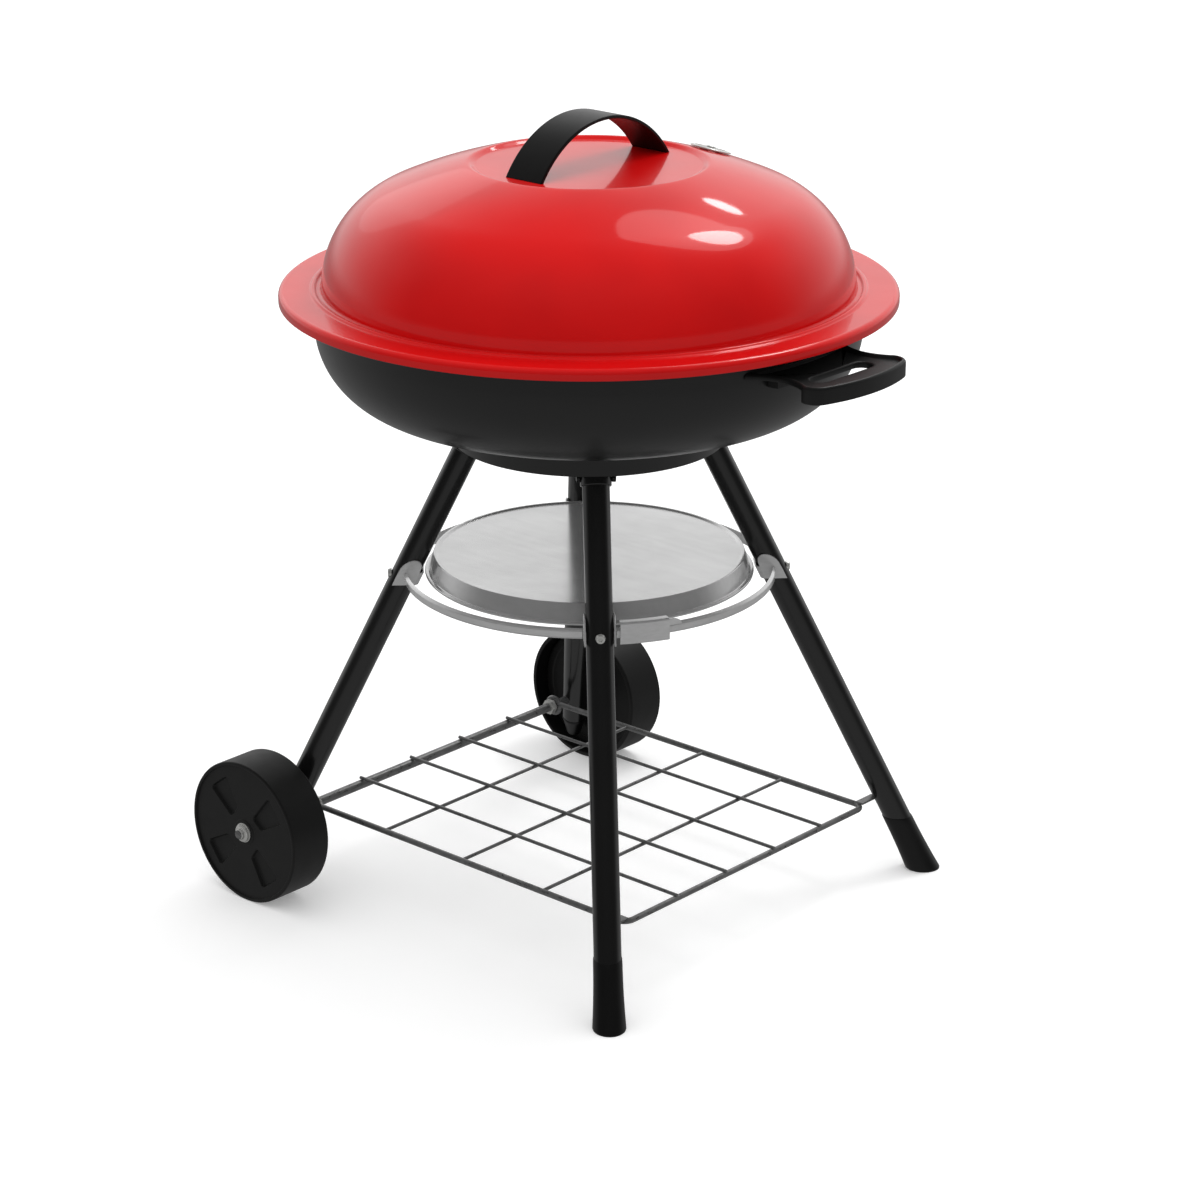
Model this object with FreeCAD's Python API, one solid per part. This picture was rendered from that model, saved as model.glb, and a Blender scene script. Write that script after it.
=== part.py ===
"""Kettle charcoal grill on four splayed tube legs, two of them wheeled.

Millimetres. +Z is up, the floor is z = 0 and the bowl's axis is the Z axis. The wheels are on
the -X side with their axle along Y. "near" is the -Y side and "far" is the +Y side.
"""

import FreeCAD, Part
import math
import os

V = FreeCAD.Vector
UP = V(0, 0, 1)
CENTRE = V(0, 0, 0)
GAP = 0.3                       # clearance between pieces that rest on or slide past each other

# Kettle
SHEET = 1.2                     # enamelled steel sheet
BOWL_R = 222.0                  # outside radius of the bowl's wall
BOWL_BOTTOM = 400.0             # outside of the bowl at its axis
BOWL_SHOULDER = 495.0           # where the bowl's wall becomes vertical
BOWL_KNUCKLE = 70.0             # radius of the curve between bottom and wall
RIM_TOP = 521.5                 # top of the bowl's turned-out rim
RIM_R = 244.0
RIM_DROP = 6.0                  # height of the rim's turned-down edge
LID_R = 215.5                   # outside radius of the dome
LID_BASE = 523.0                # top of the flat brim
LID_RISE = 112.0                # height of the dome's curve above the brim
LID_KNUCKLE = 85.0
BRIM_R = 250.0                  # outside radius of the brim's turned-down lip
LIP_DROP = 9.0
RECESS_R = 97.0                 # pressed round recess in the top of the lid
RECESS_FLOOR_R = 91.0
RECESS_FLOOR = 620.5

# Lid handle and lid damper
STRAP_WIDTH = 38.0
STRAP_THICK = 3.0
STRAP_HALF_SPAN = 77.0          # from the axis to the outside of a strap end
STRAP_TOP = 662.0
TONGUE_WIDTH = 12.0
TONGUE_DROP = 8.0
LID_VENT_AT = 118.0             # distance of the lid vent from the axis
LID_VENT_ANGLE = 75.0           # its bearing from +X, degrees
LID_DAMPER_R = 17.0
LID_VENT_HOLE_R = 3.5
LID_VENT_PITCH_R = 10.0

# Legs
TUBE_R = 11.0
TUBE_WALL = 1.2
FOOT_SPREAD = 288.0             # distance of a leg's axis from the bowl's axis at the floor
LEG_SLOPE = 0.486               # how much that distance shrinks per mm of height
LEG_TOP = 399.0
FOOT_LEG_END = 8.0
WHEEL_LEG_END = 40.0
PLUG_TIP = 20.0
PLUG_TIP_R = 6.5
SOCKET_R = 12.6
SOCKET_BOTTOM = 384.0
BOLT_UP = 7.0                   # height of a socket's bolt above the socket's lower end
RING_R = 112.0                  # skirt under the bowl that hides the sockets, at its lower edge
RING_TOP_R = 117.0
RING_BOTTOM = 395.0
RING_HEIGHT = 22.0              # before the kettle's outside trims it
RING_MEETS = 412.0              # height where it reaches its upper radius
RING_THICK = 2.0
CAP_TOP = 50.0                  # top of the flared foot cap
CAP_TOP_R = 11.6
CAP_FOOT_R = 13.8
BEARINGS = {"foot_near": -45.0, "foot_far": 45.0, "wheel_far": 135.0, "wheel_near": -135.0}
FOOTED = ("foot_near", "foot_far")
WHEELED = ("wheel_near", "wheel_far")
SIDES = {"near": -1, "far": 1}

# Wheels and axle
WHEEL_R = 62.0                  # also the axle's height
WHEEL_INNER = 192.0             # |y| of the wheel's inner edge
WHEEL_OUTER = 232.0
TREAD_THICK = 4.0
FACE_RECESS = 1.5
FACE_THICK = 4.0
POCKET_DEPTH = 2.5              # pinwheel pockets in the outer face
POCKET_ROUND = 3.0
BACK_FACE = 206.0               # |y| of the plate that closes the wheel's inner side
BACK_THICK = 2.5
HUB_R = 11.0
AXLE_R = 4.0
BORE_R = 4.05
WASHER_R = 8.5
WASHER_THICK = 1.2
CAP_NUT_R = 7.5
NUT_R = 7.0
NUT_THICK = 6.0

# Wire rack
RACK_HALF_WIDTH = 154.0
RACK_FRONT = 176.0
RAIL_R = 2.5
WIRE_R = 1.5
RACK_CORNER = 10.0
RACK_EYE_R = 8.0
LINK_WIDTH = 10.0               # link from a rack corner to the foot leg beside it
LINK_REACH = 24.0
LINK_THICK = 1.8
LONG_WIRES = 4
CROSS_WIRES = 3
WELD = 0.3                      # how far welded wires sink into each other

# Ash tray, its hoop and clips
TRAY_DISC_R = 129.0
TRAY_TOP = 294.0
TRAY_RIM_R = 136.5
TRAY_RIM = 279.0
TRAY_SHEET = 1.0
TRAY_LIFT = 4.0
HOOP_R = 153.0                  # middle of the hoop's strap
HOOP_THICK = 3.0
HOOP_HEIGHT = 9.0
HOOP_BOTTOM = 274.0
CLIP_THICK = 1.5
CLIP_HEIGHT = 14.0
CLIP_LEDGE_HALF = 8.0           # half width of the ledge under the tray
CLIP_LEDGE_IN = 9.0             # how far the ledge reaches in under the tray's rim
CLIP_EAR_R = 9.0                # rounded ear of a clip, beside the leg
JOINER_ARC = (-39.0, -24.0)     # bearings covered by the plate that joins the hoop's ends

# Bowl handles
HANDLE_TOP = 502.0
HANDLE_BOTTOM = 488.0
HANDLE_DECK = 499.0
HANDLE_BASE = (214.0, 62.0)     # plan points of the outline, as (x, |y|)
HANDLE_WAIST = (246.0, 50.0)
HANDLE_GRIP = (265.0, 57.0)
HANDLE_CORNER = (276.5, 56.0)
HANDLE_TIP = (282.0, 49.0)
HANDLE_END = 290.0              # outermost point of the bowed end
HANDLE_RIM = 4.0                # width of the raised edge round the deck
HANDLE_WALL = 3.0
HANDLE_SKIRT_AT = 265.0         # the deep skirt hangs only beyond this distance
HANDLE_EDGE = 5.0               # height of the edge along the waist
HANDLE_ROOT_HALF = 40.0         # half width of the block that meets the bowl
SLOT_X = (250.0, 266.0)         # finger slot in the deck
SLOT_HALF = 34.0
SLOT_WALL = 2.0
HANDLE_SCREW_Y = (-30.0, 30.0)
HANDLE_SCREW_Z = 493.0
SCREW_R = 2.0

# Grates
COOK_R = 208.0
COOK_Z = 503.0
COOK_ROD_R = 3.0
COOK_WIRE_R = 2.0
COOK_PITCH = 18.0
COAL_R = 168.0
COAL_Z = 431.5
COAL_ROD_R = 3.0
COAL_PITCH = 24.0
BRACKET_BEARINGS = (0.0, 90.0, 180.0, 270.0)

# Bottom damper
DAMPER_R = 42.0
DAMPER_THICK = 1.5
DAMPER_TOP = 399.0
VENT_HOLE_R = 8.0
VENT_PITCH_R = 26.0
RIVET_R = 3.0


def polar(radius, degrees, z=0.0):
    a = math.radians(degrees)
    return V(radius * math.cos(a), radius * math.sin(a), z)


def tube(start, end, outer, inner=0.0):
    run = end - start
    solid = Part.makeCylinder(outer, run.Length, start, run)
    if inner:
        solid = solid.cut(Part.makeCylinder(inner, run.Length + 2, start - run.normalize(), run))
    return solid


def block(x0, x1, y0, y1, z0, z1):
    return Part.makeBox(x1 - x0, y1 - y0, z1 - z0, V(x0, y0, z0))


def turned(shape, degrees):
    copy = shape.copy()
    copy.rotate(CENTRE, UP, degrees)
    return copy


def lathe(edges):
    """Revolve a closed outline in the XZ plane about the Z axis."""
    return Part.Face(Part.Wire(edges)).revolve(CENTRE, UP, 360)


def line(a, b):
    return Part.LineSegment(V(a[0], 0, a[1]), V(b[0], 0, b[1])).toShape()


def lines(points):
    return [line(a, b) for a, b in zip(points, points[1:])]


def arc(centre, radius, start, end):
    """Arc in the XZ plane between two angles from +X, in degrees."""
    def at(degrees):
        t = math.radians(degrees)
        return V(centre[0] + radius * math.cos(t), 0, centre[1] + radius * math.sin(t))
    return Part.Arc(at(start), at((start + end) / 2), at(end)).toShape()


def band(radius, thick, bottom, top):
    return tube(V(0, 0, bottom), V(0, 0, top), radius + thick / 2, radius - thick / 2)


def shell_arcs(radius, knuckle, depth, inward):
    """The two tangent arcs of a kettle half, as the flat cap's radius and the joint's slope.

    depth runs from the level where the wall is vertical to the cap's crown on the axis.
    """
    reach = radius - knuckle
    cap = (reach ** 2 + depth ** 2 - knuckle ** 2) / (2 * (depth - knuckle))
    slope = math.degrees(math.atan2(cap - depth, reach))
    return cap - inward, knuckle - inward, slope


def bowl_curve(inward):
    """Outline of the bowl from its axis to the vertical wall, moved inward by a thickness."""
    depth = BOWL_SHOULDER - BOWL_BOTTOM
    cap, knuckle, slope = shell_arcs(BOWL_R, BOWL_KNUCKLE, depth, inward)
    crown = BOWL_BOTTOM + cap + inward
    low = arc((0, crown), cap, -90, -slope)
    side = arc((BOWL_R - BOWL_KNUCKLE, BOWL_SHOULDER), knuckle, -slope, 0)
    return [low, side]


def bowl_envelope(clearance):
    """The solid space inside the bowl's outer face, grown by a clearance."""
    edges = bowl_curve(-clearance)
    top = RIM_TOP
    edges += lines([(BOWL_R + clearance, BOWL_SHOULDER), (BOWL_R + clearance, top),
                    (0, top), (0, BOWL_BOTTOM - clearance)])
    return lathe(edges)


def lid_curve(inward, start_angle):
    """Dome outline from the brim up to the given angle on the cap, moved inward."""
    cap, knuckle, slope = shell_arcs(LID_R, LID_KNUCKLE, LID_RISE, inward)
    crown = LID_BASE + LID_RISE - cap - inward
    side = arc((LID_R - LID_KNUCKLE, LID_BASE), knuckle, 0, slope)
    top = arc((0, crown), cap, slope, start_angle)
    return [side, top], crown, cap


def vent_holes(radius, pitch_radius, count, z0, z1):
    holes = [tube(polar(pitch_radius, 360 * i / count, z0), polar(pitch_radius, 360 * i / count, z1),
                  radius) for i in range(count)]
    return Part.makeCompound(holes)


def bowl():
    inner = BOWL_R - SHEET
    edges = bowl_curve(0)
    edges += lines([(BOWL_R, BOWL_SHOULDER), (BOWL_R, RIM_TOP - SHEET),
                    (RIM_R - SHEET, RIM_TOP - SHEET), (RIM_R - SHEET, RIM_TOP - RIM_DROP),
                    (RIM_R, RIM_TOP - RIM_DROP), (RIM_R, RIM_TOP),
                    (inner, RIM_TOP), (inner, BOWL_SHOULDER)])
    edges += bowl_curve(SHEET)
    edges += lines([(0, BOWL_BOTTOM + SHEET), (0, BOWL_BOTTOM)])
    shell = lathe(Part.__sortEdges__(edges))
    low, high = BOWL_BOTTOM - 5, BOWL_BOTTOM + 10
    shell = shell.cut(vent_holes(VENT_HOLE_R, VENT_PITCH_R, 4, low, high))
    shell = shell.cut(tube(V(0, 0, low), V(0, 0, high), RIVET_R + 0.1))
    for side in (1, -1):
        for y in HANDLE_SCREW_Y:
            start = V(side * (BOWL_R - 12), y, HANDLE_SCREW_Z)
            shell = shell.cut(tube(start, start + V(side * 16, 0, 0), SCREW_R + 0.2))
    return shell


def lid_vent_frame():
    """Point on the lid's outer face at the vent, and the outward normal there."""
    cap, _, _ = shell_arcs(LID_R, LID_KNUCKLE, LID_RISE, 0)
    crown = V(0, 0, LID_BASE + LID_RISE - cap)
    height = math.sqrt(cap ** 2 - LID_VENT_AT ** 2)
    point = polar(LID_VENT_AT, LID_VENT_ANGLE, crown.z + height)
    return point, (point - crown).normalize()


def on_lid_vent(shape):
    """Move a shape made about the Z axis at z = 0 on to the lid vent."""
    point, normal = lid_vent_frame()
    copy = shape.copy()
    copy.Placement = FreeCAD.Placement(point, FreeCAD.Rotation(UP, normal))
    return copy


def lid_shell():
    def rim_angle(inward):
        cap, _, _ = shell_arcs(LID_R, LID_KNUCKLE, LID_RISE, inward)
        return cap, math.degrees(math.acos(RECESS_R / cap))
    outer_cap, outer_angle = rim_angle(0)
    inner_cap, inner_angle = rim_angle(SHEET)
    outer, crown, _ = lid_curve(0, outer_angle)
    inner, inner_crown, _ = lid_curve(SHEET, inner_angle)
    rim = crown + outer_cap * math.sin(math.radians(outer_angle))
    rim_in = inner_crown + inner_cap * math.sin(math.radians(inner_angle))
    edges = outer
    edges += lines([(RECESS_R, rim), (RECESS_FLOOR_R, RECESS_FLOOR), (0, RECESS_FLOOR),
                    (0, RECESS_FLOOR - SHEET), (RECESS_FLOOR_R, RECESS_FLOOR - SHEET),
                    (RECESS_R, rim_in)])
    edges += inner
    under = LID_BASE - SHEET
    edges += lines([(LID_R - SHEET, LID_BASE), (LID_R - SHEET, under), (BRIM_R - SHEET, under),
                    (BRIM_R - SHEET, LID_BASE - LIP_DROP), (BRIM_R, LID_BASE - LIP_DROP),
                    (BRIM_R, LID_BASE), (LID_R, LID_BASE)])
    shell = lathe(Part.__sortEdges__(edges))
    holes = vent_holes(LID_VENT_HOLE_R, LID_VENT_PITCH_R, 4, -6, 6)
    shell = shell.cut(on_lid_vent(holes))
    shell = shell.cut(on_lid_vent(tube(V(0, 0, -6), V(0, 0, 6), 2.6)))
    for side in (1, -1):
        shell = shell.cut(handle_tongue(side, 0.2))
    return shell


def handle_tongue(side, grow=0.0):
    half = TONGUE_WIDTH / 2 + grow
    y0 = side * (STRAP_HALF_SPAN + grow)
    y1 = side * (STRAP_HALF_SPAN - STRAP_THICK - grow)
    low = RECESS_FLOOR - TONGUE_DROP
    return block(-half, half, min(y0, y1), max(y0, y1), low, RECESS_FLOOR + 3)


def strap_arch():
    """Arched strap along Y: the ring between two arcs through the feet and the crown."""
    rise = STRAP_TOP - RECESS_FLOOR
    radius = (STRAP_HALF_SPAN ** 2 + rise ** 2) / (2 * rise)
    middle = STRAP_TOP - radius
    start = V(-STRAP_WIDTH / 2, 0, middle)
    along = V(STRAP_WIDTH, 0, 0)
    ring = tube(start, start + along, radius, radius - STRAP_THICK)
    ring = ring.common(block(-50, 50, -100, 100, RECESS_FLOOR + 0.1, STRAP_TOP + 1))
    return ring


def lid_handle():
    handle = strap_arch()
    for side in (1, -1):
        handle = handle.fuse(handle_tongue(side))
    return handle.removeSplitter()


def handle_push_nuts():
    nuts = []
    z1 = RECESS_FLOOR - SHEET - 0.1
    for side in (1, -1):
        y = side * (STRAP_HALF_SPAN - STRAP_THICK / 2)
        nut = tube(V(0, y, z1 - 2), V(0, y, z1), 9)
        nuts.append(nut.cut(handle_tongue(side, 0.1)))
    return Part.makeCompound(nuts)


def lid_damper():
    plate = tube(V(0, 0, 0.6), V(0, 0, 1.6), LID_DAMPER_R)
    plate = plate.cut(turned(vent_holes(LID_VENT_HOLE_R, LID_VENT_PITCH_R, 4, 0, 3), 45))
    plate = plate.cut(tube(V(0, 0, 0), V(0, 0, 3), 2.55))
    return on_lid_vent(plate)


def lid_damper_rivet():
    pin = tube(V(0, 0, -3), V(0, 0, 2.2), 2.5)
    head = tube(V(0, 0, 1.9), V(0, 0, 3.4), 4.5)
    tail = tube(V(0, 0, -3.6), V(0, 0, -1.6), 4.0)
    return on_lid_vent(pin.fuse([head, tail]).removeSplitter())


def leg_point(bearing, z):
    return polar(FOOT_SPREAD - LEG_SLOPE * z, bearing, z)


def axle_x():
    return leg_point(BEARINGS["wheel_near"], WHEEL_R).x


def axle_hole():
    return tube(V(axle_x(), -300, WHEEL_R), V(axle_x(), 300, WHEEL_R), AXLE_R + 0.1)


def leg(name):
    bearing = BEARINGS[name]
    low = FOOT_LEG_END if name in FOOTED else WHEEL_LEG_END
    solid = tube(leg_point(bearing, low), leg_point(bearing, LEG_TOP), TUBE_R, TUBE_R - TUBE_WALL)
    if name in WHEELED:
        solid = solid.cut(axle_hole())
    solid = solid.cut(clip_screw(bearing, 0.2))
    return solid.cut(socket_bolt(bearing, 0.2))


def leg_socket(name, kettle):
    bearing = BEARINGS[name]
    solid = tube(leg_point(bearing, SOCKET_BOTTOM), leg_point(bearing, 430), SOCKET_R, TUBE_R + 0.1)
    solid = solid.cut(kettle)
    return solid.cut(socket_bolt(bearing, 0.2))


def socket_bolt(bearing, grow=0.0):
    """Hex-headed bolt through a socket and its leg, level and along the ring."""
    at = leg_point(bearing, SOCKET_BOTTOM + BOLT_UP)
    across = polar(1, bearing + 90)
    shank = tube(at - across * (SOCKET_R + 0.5), at + across * (SOCKET_R + 0.5), 2.5 + grow)
    if grow:
        return shank
    head = prism(6, 4.6, at + across * (SOCKET_R + 0.1), across, 3.5)
    nut = prism(6, 4.6, at - across * (SOCKET_R + 0.1), across * -1, 3.0)
    return shank.fuse([head, nut])


def prism(sides, radius, base, way, height):
    points = [V(radius * math.cos(2 * math.pi * i / sides), radius * math.sin(2 * math.pi * i / sides), 0)
              for i in range(sides)]
    face = Part.Face(Part.makePolygon(points + points[:1]))
    solid = face.extrude(V(0, 0, height))
    solid.Placement = FreeCAD.Placement(base, FreeCAD.Rotation(UP, way))
    return solid


def leg_ring(kettle):
    """Skirt that flares up to the bowl, cut out round the sockets."""
    top = RING_BOTTOM + RING_HEIGHT
    top_r = RING_R + (RING_TOP_R - RING_R) * RING_HEIGHT / (RING_MEETS - RING_BOTTOM)
    outline = [(RING_R, RING_BOTTOM), (top_r, top), (top_r - RING_THICK, top),
               (RING_R - RING_THICK, RING_BOTTOM), (RING_R, RING_BOTTOM)]
    ring = lathe(lines(outline)).cut(kettle)
    for bearing in BEARINGS.values():
        ring = ring.cut(tube(leg_point(bearing, SOCKET_BOTTOM), leg_point(bearing, top + 10), SOCKET_R + 0.1))
    return ring


def foot_cap(name):
    bearing = BEARINGS[name]
    low, high = leg_point(bearing, -14), leg_point(bearing, CAP_TOP)
    run = high - low
    body = Part.makeCone(CAP_FOOT_R, CAP_TOP_R, run.Length, low, run)
    body = body.cut(tube(leg_point(bearing, FOOT_LEG_END - 0.5), leg_point(bearing, 80), TUBE_R + 0.05))
    return body.cut(block(-400, 400, -400, 400, -60, 0))


def end_plug(name):
    """Plug in the open end of a wheel leg, tapering down to just above the floor."""
    bearing = BEARINGS[name]
    end = leg_point(bearing, WHEEL_LEG_END)
    tip = leg_point(bearing, PLUG_TIP)
    way = (leg_point(bearing, 100) - end).normalize()
    stem = tube(end - way, end + way * 3.5, TUBE_R - TUBE_WALL - 0.1)
    taper = end - tip
    cone = Part.makeCone(PLUG_TIP_R, TUBE_R, taper.Length - 0.1, tip, taper)
    return stem.fuse(cone).removeSplitter()


def along_y(side, y0, y1, outer, inner=0.0):
    """Cylinder about the axle line between two distances from the middle, on one side."""
    return tube(V(axle_x(), side * y0, WHEEL_R), V(axle_x(), side * y1, WHEEL_R), outer, inner)


def wheel(side):
    rim = along_y(side, WHEEL_INNER, WHEEL_OUTER, WHEEL_R, WHEEL_R - TREAD_THICK)
    face_out = WHEEL_OUTER - FACE_RECESS
    face = along_y(side, face_out - FACE_THICK, face_out, WHEEL_R - TREAD_THICK + 0.5, BORE_R)
    hub = along_y(side, BACK_FACE + BACK_THICK + 0.1, WHEEL_OUTER - 1, HUB_R, BORE_R)
    solid = rim.fuse([face, hub]).removeSplitter()
    corner = [e for e in solid.Edges if abs(edge_radius(e) - WHEEL_R) < 0.01]
    solid = solid.makeFillet(1.5, corner)
    pocket = face_pocket(side)
    for i in range(4):
        cutter = pocket.copy()
        cutter.rotate(V(axle_x(), 0, WHEEL_R), V(0, 1, 0), 90 * i)
        solid = solid.cut(cutter)
    return solid


def edge_radius(edge):
    curve = edge.Curve
    return curve.Radius if isinstance(curve, Part.Circle) else -1.0


def face_pocket(side):
    """One of the four rounded pockets set like a pinwheel round the hub, as a cutter."""
    corners = [(10, 15), (21, 7), (46, 20), (31, 40)]
    face_out = WHEEL_OUTER - FACE_RECESS
    floor = side * (face_out - POCKET_DEPTH)
    points = [V(axle_x() + x, floor, WHEEL_R + z) for x, z in corners]
    wire = Part.makePolygon(points + points[:1]).makeOffset2D(-POCKET_ROUND).makeOffset2D(POCKET_ROUND)
    return Part.Face(wire).extrude(V(0, side * (POCKET_DEPTH + 5), 0))


def wheel_back(side):
    return along_y(side, BACK_FACE, BACK_FACE + BACK_THICK, WHEEL_R - TREAD_THICK - 0.1, BORE_R)


def axle():
    reach = WHEEL_OUTER + WASHER_THICK + 5
    return tube(V(axle_x(), -reach, WHEEL_R), V(axle_x(), reach, WHEEL_R), AXLE_R)


def axle_washers():
    pieces = []
    for side in (-1, 1):
        pieces.append(along_y(side, BACK_FACE - 1.6, BACK_FACE - GAP, WASHER_R, AXLE_R + 0.05))
        out = WHEEL_OUTER - 1 + GAP
        pieces.append(along_y(side, out, out + WASHER_THICK, WASHER_R, AXLE_R + 0.05))
    return Part.makeCompound(pieces)


def axle_cap_nuts():
    """Push-on dome nuts on the axle's two ends."""
    pieces = []
    for side in (-1, 1):
        start = WHEEL_OUTER - 1 + GAP + WASHER_THICK
        nut = along_y(side, start, start + 3.5, CAP_NUT_R)
        dome = Part.makeSphere(CAP_NUT_R, V(axle_x(), side * (start + 3.5), WHEEL_R))
        keep = along_y(side, start + 1, start + 20, CAP_NUT_R)
        nut = nut.fuse(dome.common(keep)).removeSplitter()
        pieces.append(nut.cut(axle().fuse(along_y(side, start - 1, WHEEL_OUTER + 6.3, AXLE_R + 0.05))))
    return Part.makeCompound(pieces)


def axle_nuts():
    """Hex nuts on the axle against the inner side of each of the rack's eyes."""
    pieces = []
    for side in (-1, 1):
        y = side * (RACK_HALF_WIDTH - RAIL_R - NUT_THICK - GAP)
        nut = prism(6, NUT_R, V(axle_x(), y, WHEEL_R), V(0, side, 0), NUT_THICK)
        pieces.append(nut.cut(tube(V(axle_x(), -250, WHEEL_R), V(axle_x(), 250, WHEEL_R), AXLE_R + 0.05)))
    return Part.makeCompound(pieces)


def rack_z():
    return WHEEL_R + RAIL_R


def rack_rail():
    """U-shaped rod: two sides from the axle and the front bar, with an eye on the axle each."""
    z, w, c = rack_z(), RACK_HALF_WIDTH, RACK_CORNER
    back = axle_x() + RACK_EYE_R - 0.5
    front = RACK_FRONT
    k = c * (1 - math.sqrt(0.5))
    path = Part.Wire([
        Part.LineSegment(V(back, -w, z), V(front - c, -w, z)).toShape(),
        Part.Arc(V(front - c, -w, z), V(front - k, -w + k, z), V(front, -w + c, z)).toShape(),
        Part.LineSegment(V(front, -w + c, z), V(front, w - c, z)).toShape(),
        Part.Arc(V(front, w - c, z), V(front - k, w - k, z), V(front - c, w, z)).toShape(),
        Part.LineSegment(V(front - c, w, z), V(back, w, z)).toShape()])
    profile = Part.Wire([Part.makeCircle(RAIL_R, V(back, -w, z), V(1, 0, 0))])
    rod = path.makePipeShell([profile], True, False)
    for y in (-w, w):
        eye = tube(V(axle_x(), y - RAIL_R, WHEEL_R), V(axle_x(), y + RAIL_R, WHEEL_R), RACK_EYE_R)
        rod = rod.fuse(eye)
    return rod.cut(axle_hole())


def rack_wires():
    """Long wires that lie over the axle, and cross wires under them that end at the rail."""
    long_z = WHEEL_R + AXLE_R + WIRE_R + 0.1
    cross_z = long_z - 2 * WIRE_R
    wires = []
    gap_y = 2 * RACK_HALF_WIDTH / (LONG_WIRES + 1)
    for i in range(LONG_WIRES):
        y = -RACK_HALF_WIDTH + gap_y * (i + 1)
        wires.append(tube(V(axle_x() - 2, y, long_z), V(RACK_FRONT + 1.5, y, long_z), WIRE_R))
    gap_x = (RACK_FRONT - axle_x()) / (CROSS_WIRES + 1)
    reach = RACK_HALF_WIDTH - RAIL_R - 0.1
    for i in range(CROSS_WIRES):
        x = axle_x() + gap_x * (i + 1)
        wires.append(tube(V(x, -reach, cross_z), V(x, reach, cross_z), WIRE_R))
    rail = rack_rail()
    return Part.makeCompound([wire.cut(rail) for wire in wires])


def rack_brackets():
    """Flat links welded on the rack's front corners that end on the foot legs."""
    pieces = []
    z = rack_z()
    low = z + RAIL_R + 0.1
    for side, name in ((-1, "foot_near"), (1, "foot_far")):
        y0, y1 = sorted((side * (RACK_HALF_WIDTH - 4), side * (RACK_HALF_WIDTH + LINK_REACH)))
        link = block(RACK_FRONT + 2 - LINK_WIDTH, RACK_FRONT + 2, y0, y1, low, low + LINK_THICK)
        bearing = BEARINGS[name]
        run = tube(leg_point(bearing, z - 40), leg_point(bearing, z + 40), TUBE_R + 0.05)
        parts = link.cut(run).cut(rack_rail()).Solids
        pieces.append(min(parts, key=lambda part: abs(part.CenterOfMass.y)))
    return Part.makeCompound(pieces)


def ash_tray():
    t = TRAY_SHEET
    rise = TRAY_TOP - t
    outline = [(0, rise), (TRAY_DISC_R - t, rise), (TRAY_RIM_R - t - 3, TRAY_RIM),
               (TRAY_RIM_R, TRAY_RIM), (TRAY_RIM_R, TRAY_RIM + 2.5), (TRAY_RIM_R - 3, TRAY_RIM + 2.5),
               (TRAY_DISC_R, TRAY_TOP + 1.5), (TRAY_DISC_R - 2, TRAY_TOP + 1.5),
               (TRAY_DISC_R - 2, TRAY_TOP), (0, TRAY_TOP), (0, rise)]
    return lathe(lines(outline))


def hoop_ring():
    """Strap hoop with a half-round outer face, at the radius where it meets the legs."""
    inner, outer = HOOP_R - HOOP_THICK / 2, HOOP_R + HOOP_THICK / 2
    top = HOOP_BOTTOM + HOOP_HEIGHT
    flat = outer - 1.5
    edges = lines([(flat, top), (inner, top), (inner, HOOP_BOTTOM), (flat, HOOP_BOTTOM)])
    belly = Part.Arc(V(flat, 0, HOOP_BOTTOM), V(outer, 0, (HOOP_BOTTOM + top) / 2), V(flat, 0, top))
    edges.append(belly.toShape())
    return lathe(edges)


def hoop_arcs():
    """The hoop as four arcs, each ending against two legs."""
    ring = hoop_ring()
    for bearing in BEARINGS.values():
        ring = ring.cut(tube(leg_point(bearing, 240), leg_point(bearing, 310), TUBE_R + CLIP_THICK + 1.2))
    names = {0.0: "hoop_foot_side", 90.0: "hoop_far_side", 180.0: "hoop_wheel_side",
             -90.0: "hoop_near_side"}
    arcs = {}
    for solid in ring.Solids:
        c = solid.CenterOfMass
        bearing = math.degrees(math.atan2(c.y, c.x))
        name = min(names, key=lambda b: abs((bearing - b + 180) % 360 - 180))
        arcs[names[name]] = solid
    return arcs


def hoop_clip(name):
    """Saddle round a leg that carries the hoop's ends and a ledge under the tray's rim."""
    bearing = BEARINGS[name]
    middle = HOOP_BOTTOM + HOOP_HEIGHT / 2
    low, high = middle - CLIP_HEIGHT / 2, middle + CLIP_HEIGHT / 2
    centre = FOOT_SPREAD - LEG_SLOPE * middle
    half = TUBE_R + CLIP_THICK
    saddle = block(centre - half - 3, centre + 9, -half, half, low, high)
    ledge_top = TRAY_RIM - GAP
    ledge_low = ledge_top - CLIP_THICK
    tip = TRAY_RIM_R - CLIP_LEDGE_IN
    ledge = block(tip, centre - half, -CLIP_LEDGE_HALF, CLIP_LEDGE_HALF, ledge_low, ledge_top)
    tab = tube(V(tip, 0, ledge_low), V(tip, 0, ledge_top), CLIP_LEDGE_HALF)
    ears = []
    for side in (1, -1):
        ear = V(centre - 1, side * (TUBE_R - 1), high - 2)
        ears.append(tube(ear, V(ear.x, side * half, ear.z), CLIP_EAR_R))
    piece = turned(saddle.fuse([ledge, tab] + ears).removeSplitter(), bearing)
    piece = piece.cut(tube(leg_point(bearing, low - 30), leg_point(bearing, high + 30), TUBE_R + 0.05))
    return piece.cut(clip_screw(bearing, 0.2)).cut(tray_space())


def tray_space():
    """Room the tray needs to lift."""
    top = TRAY_TOP + TRAY_LIFT + 4
    return tube(V(0, 0, TRAY_RIM - GAP), V(0, 0, top), TRAY_RIM_R + 0.8)


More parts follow.
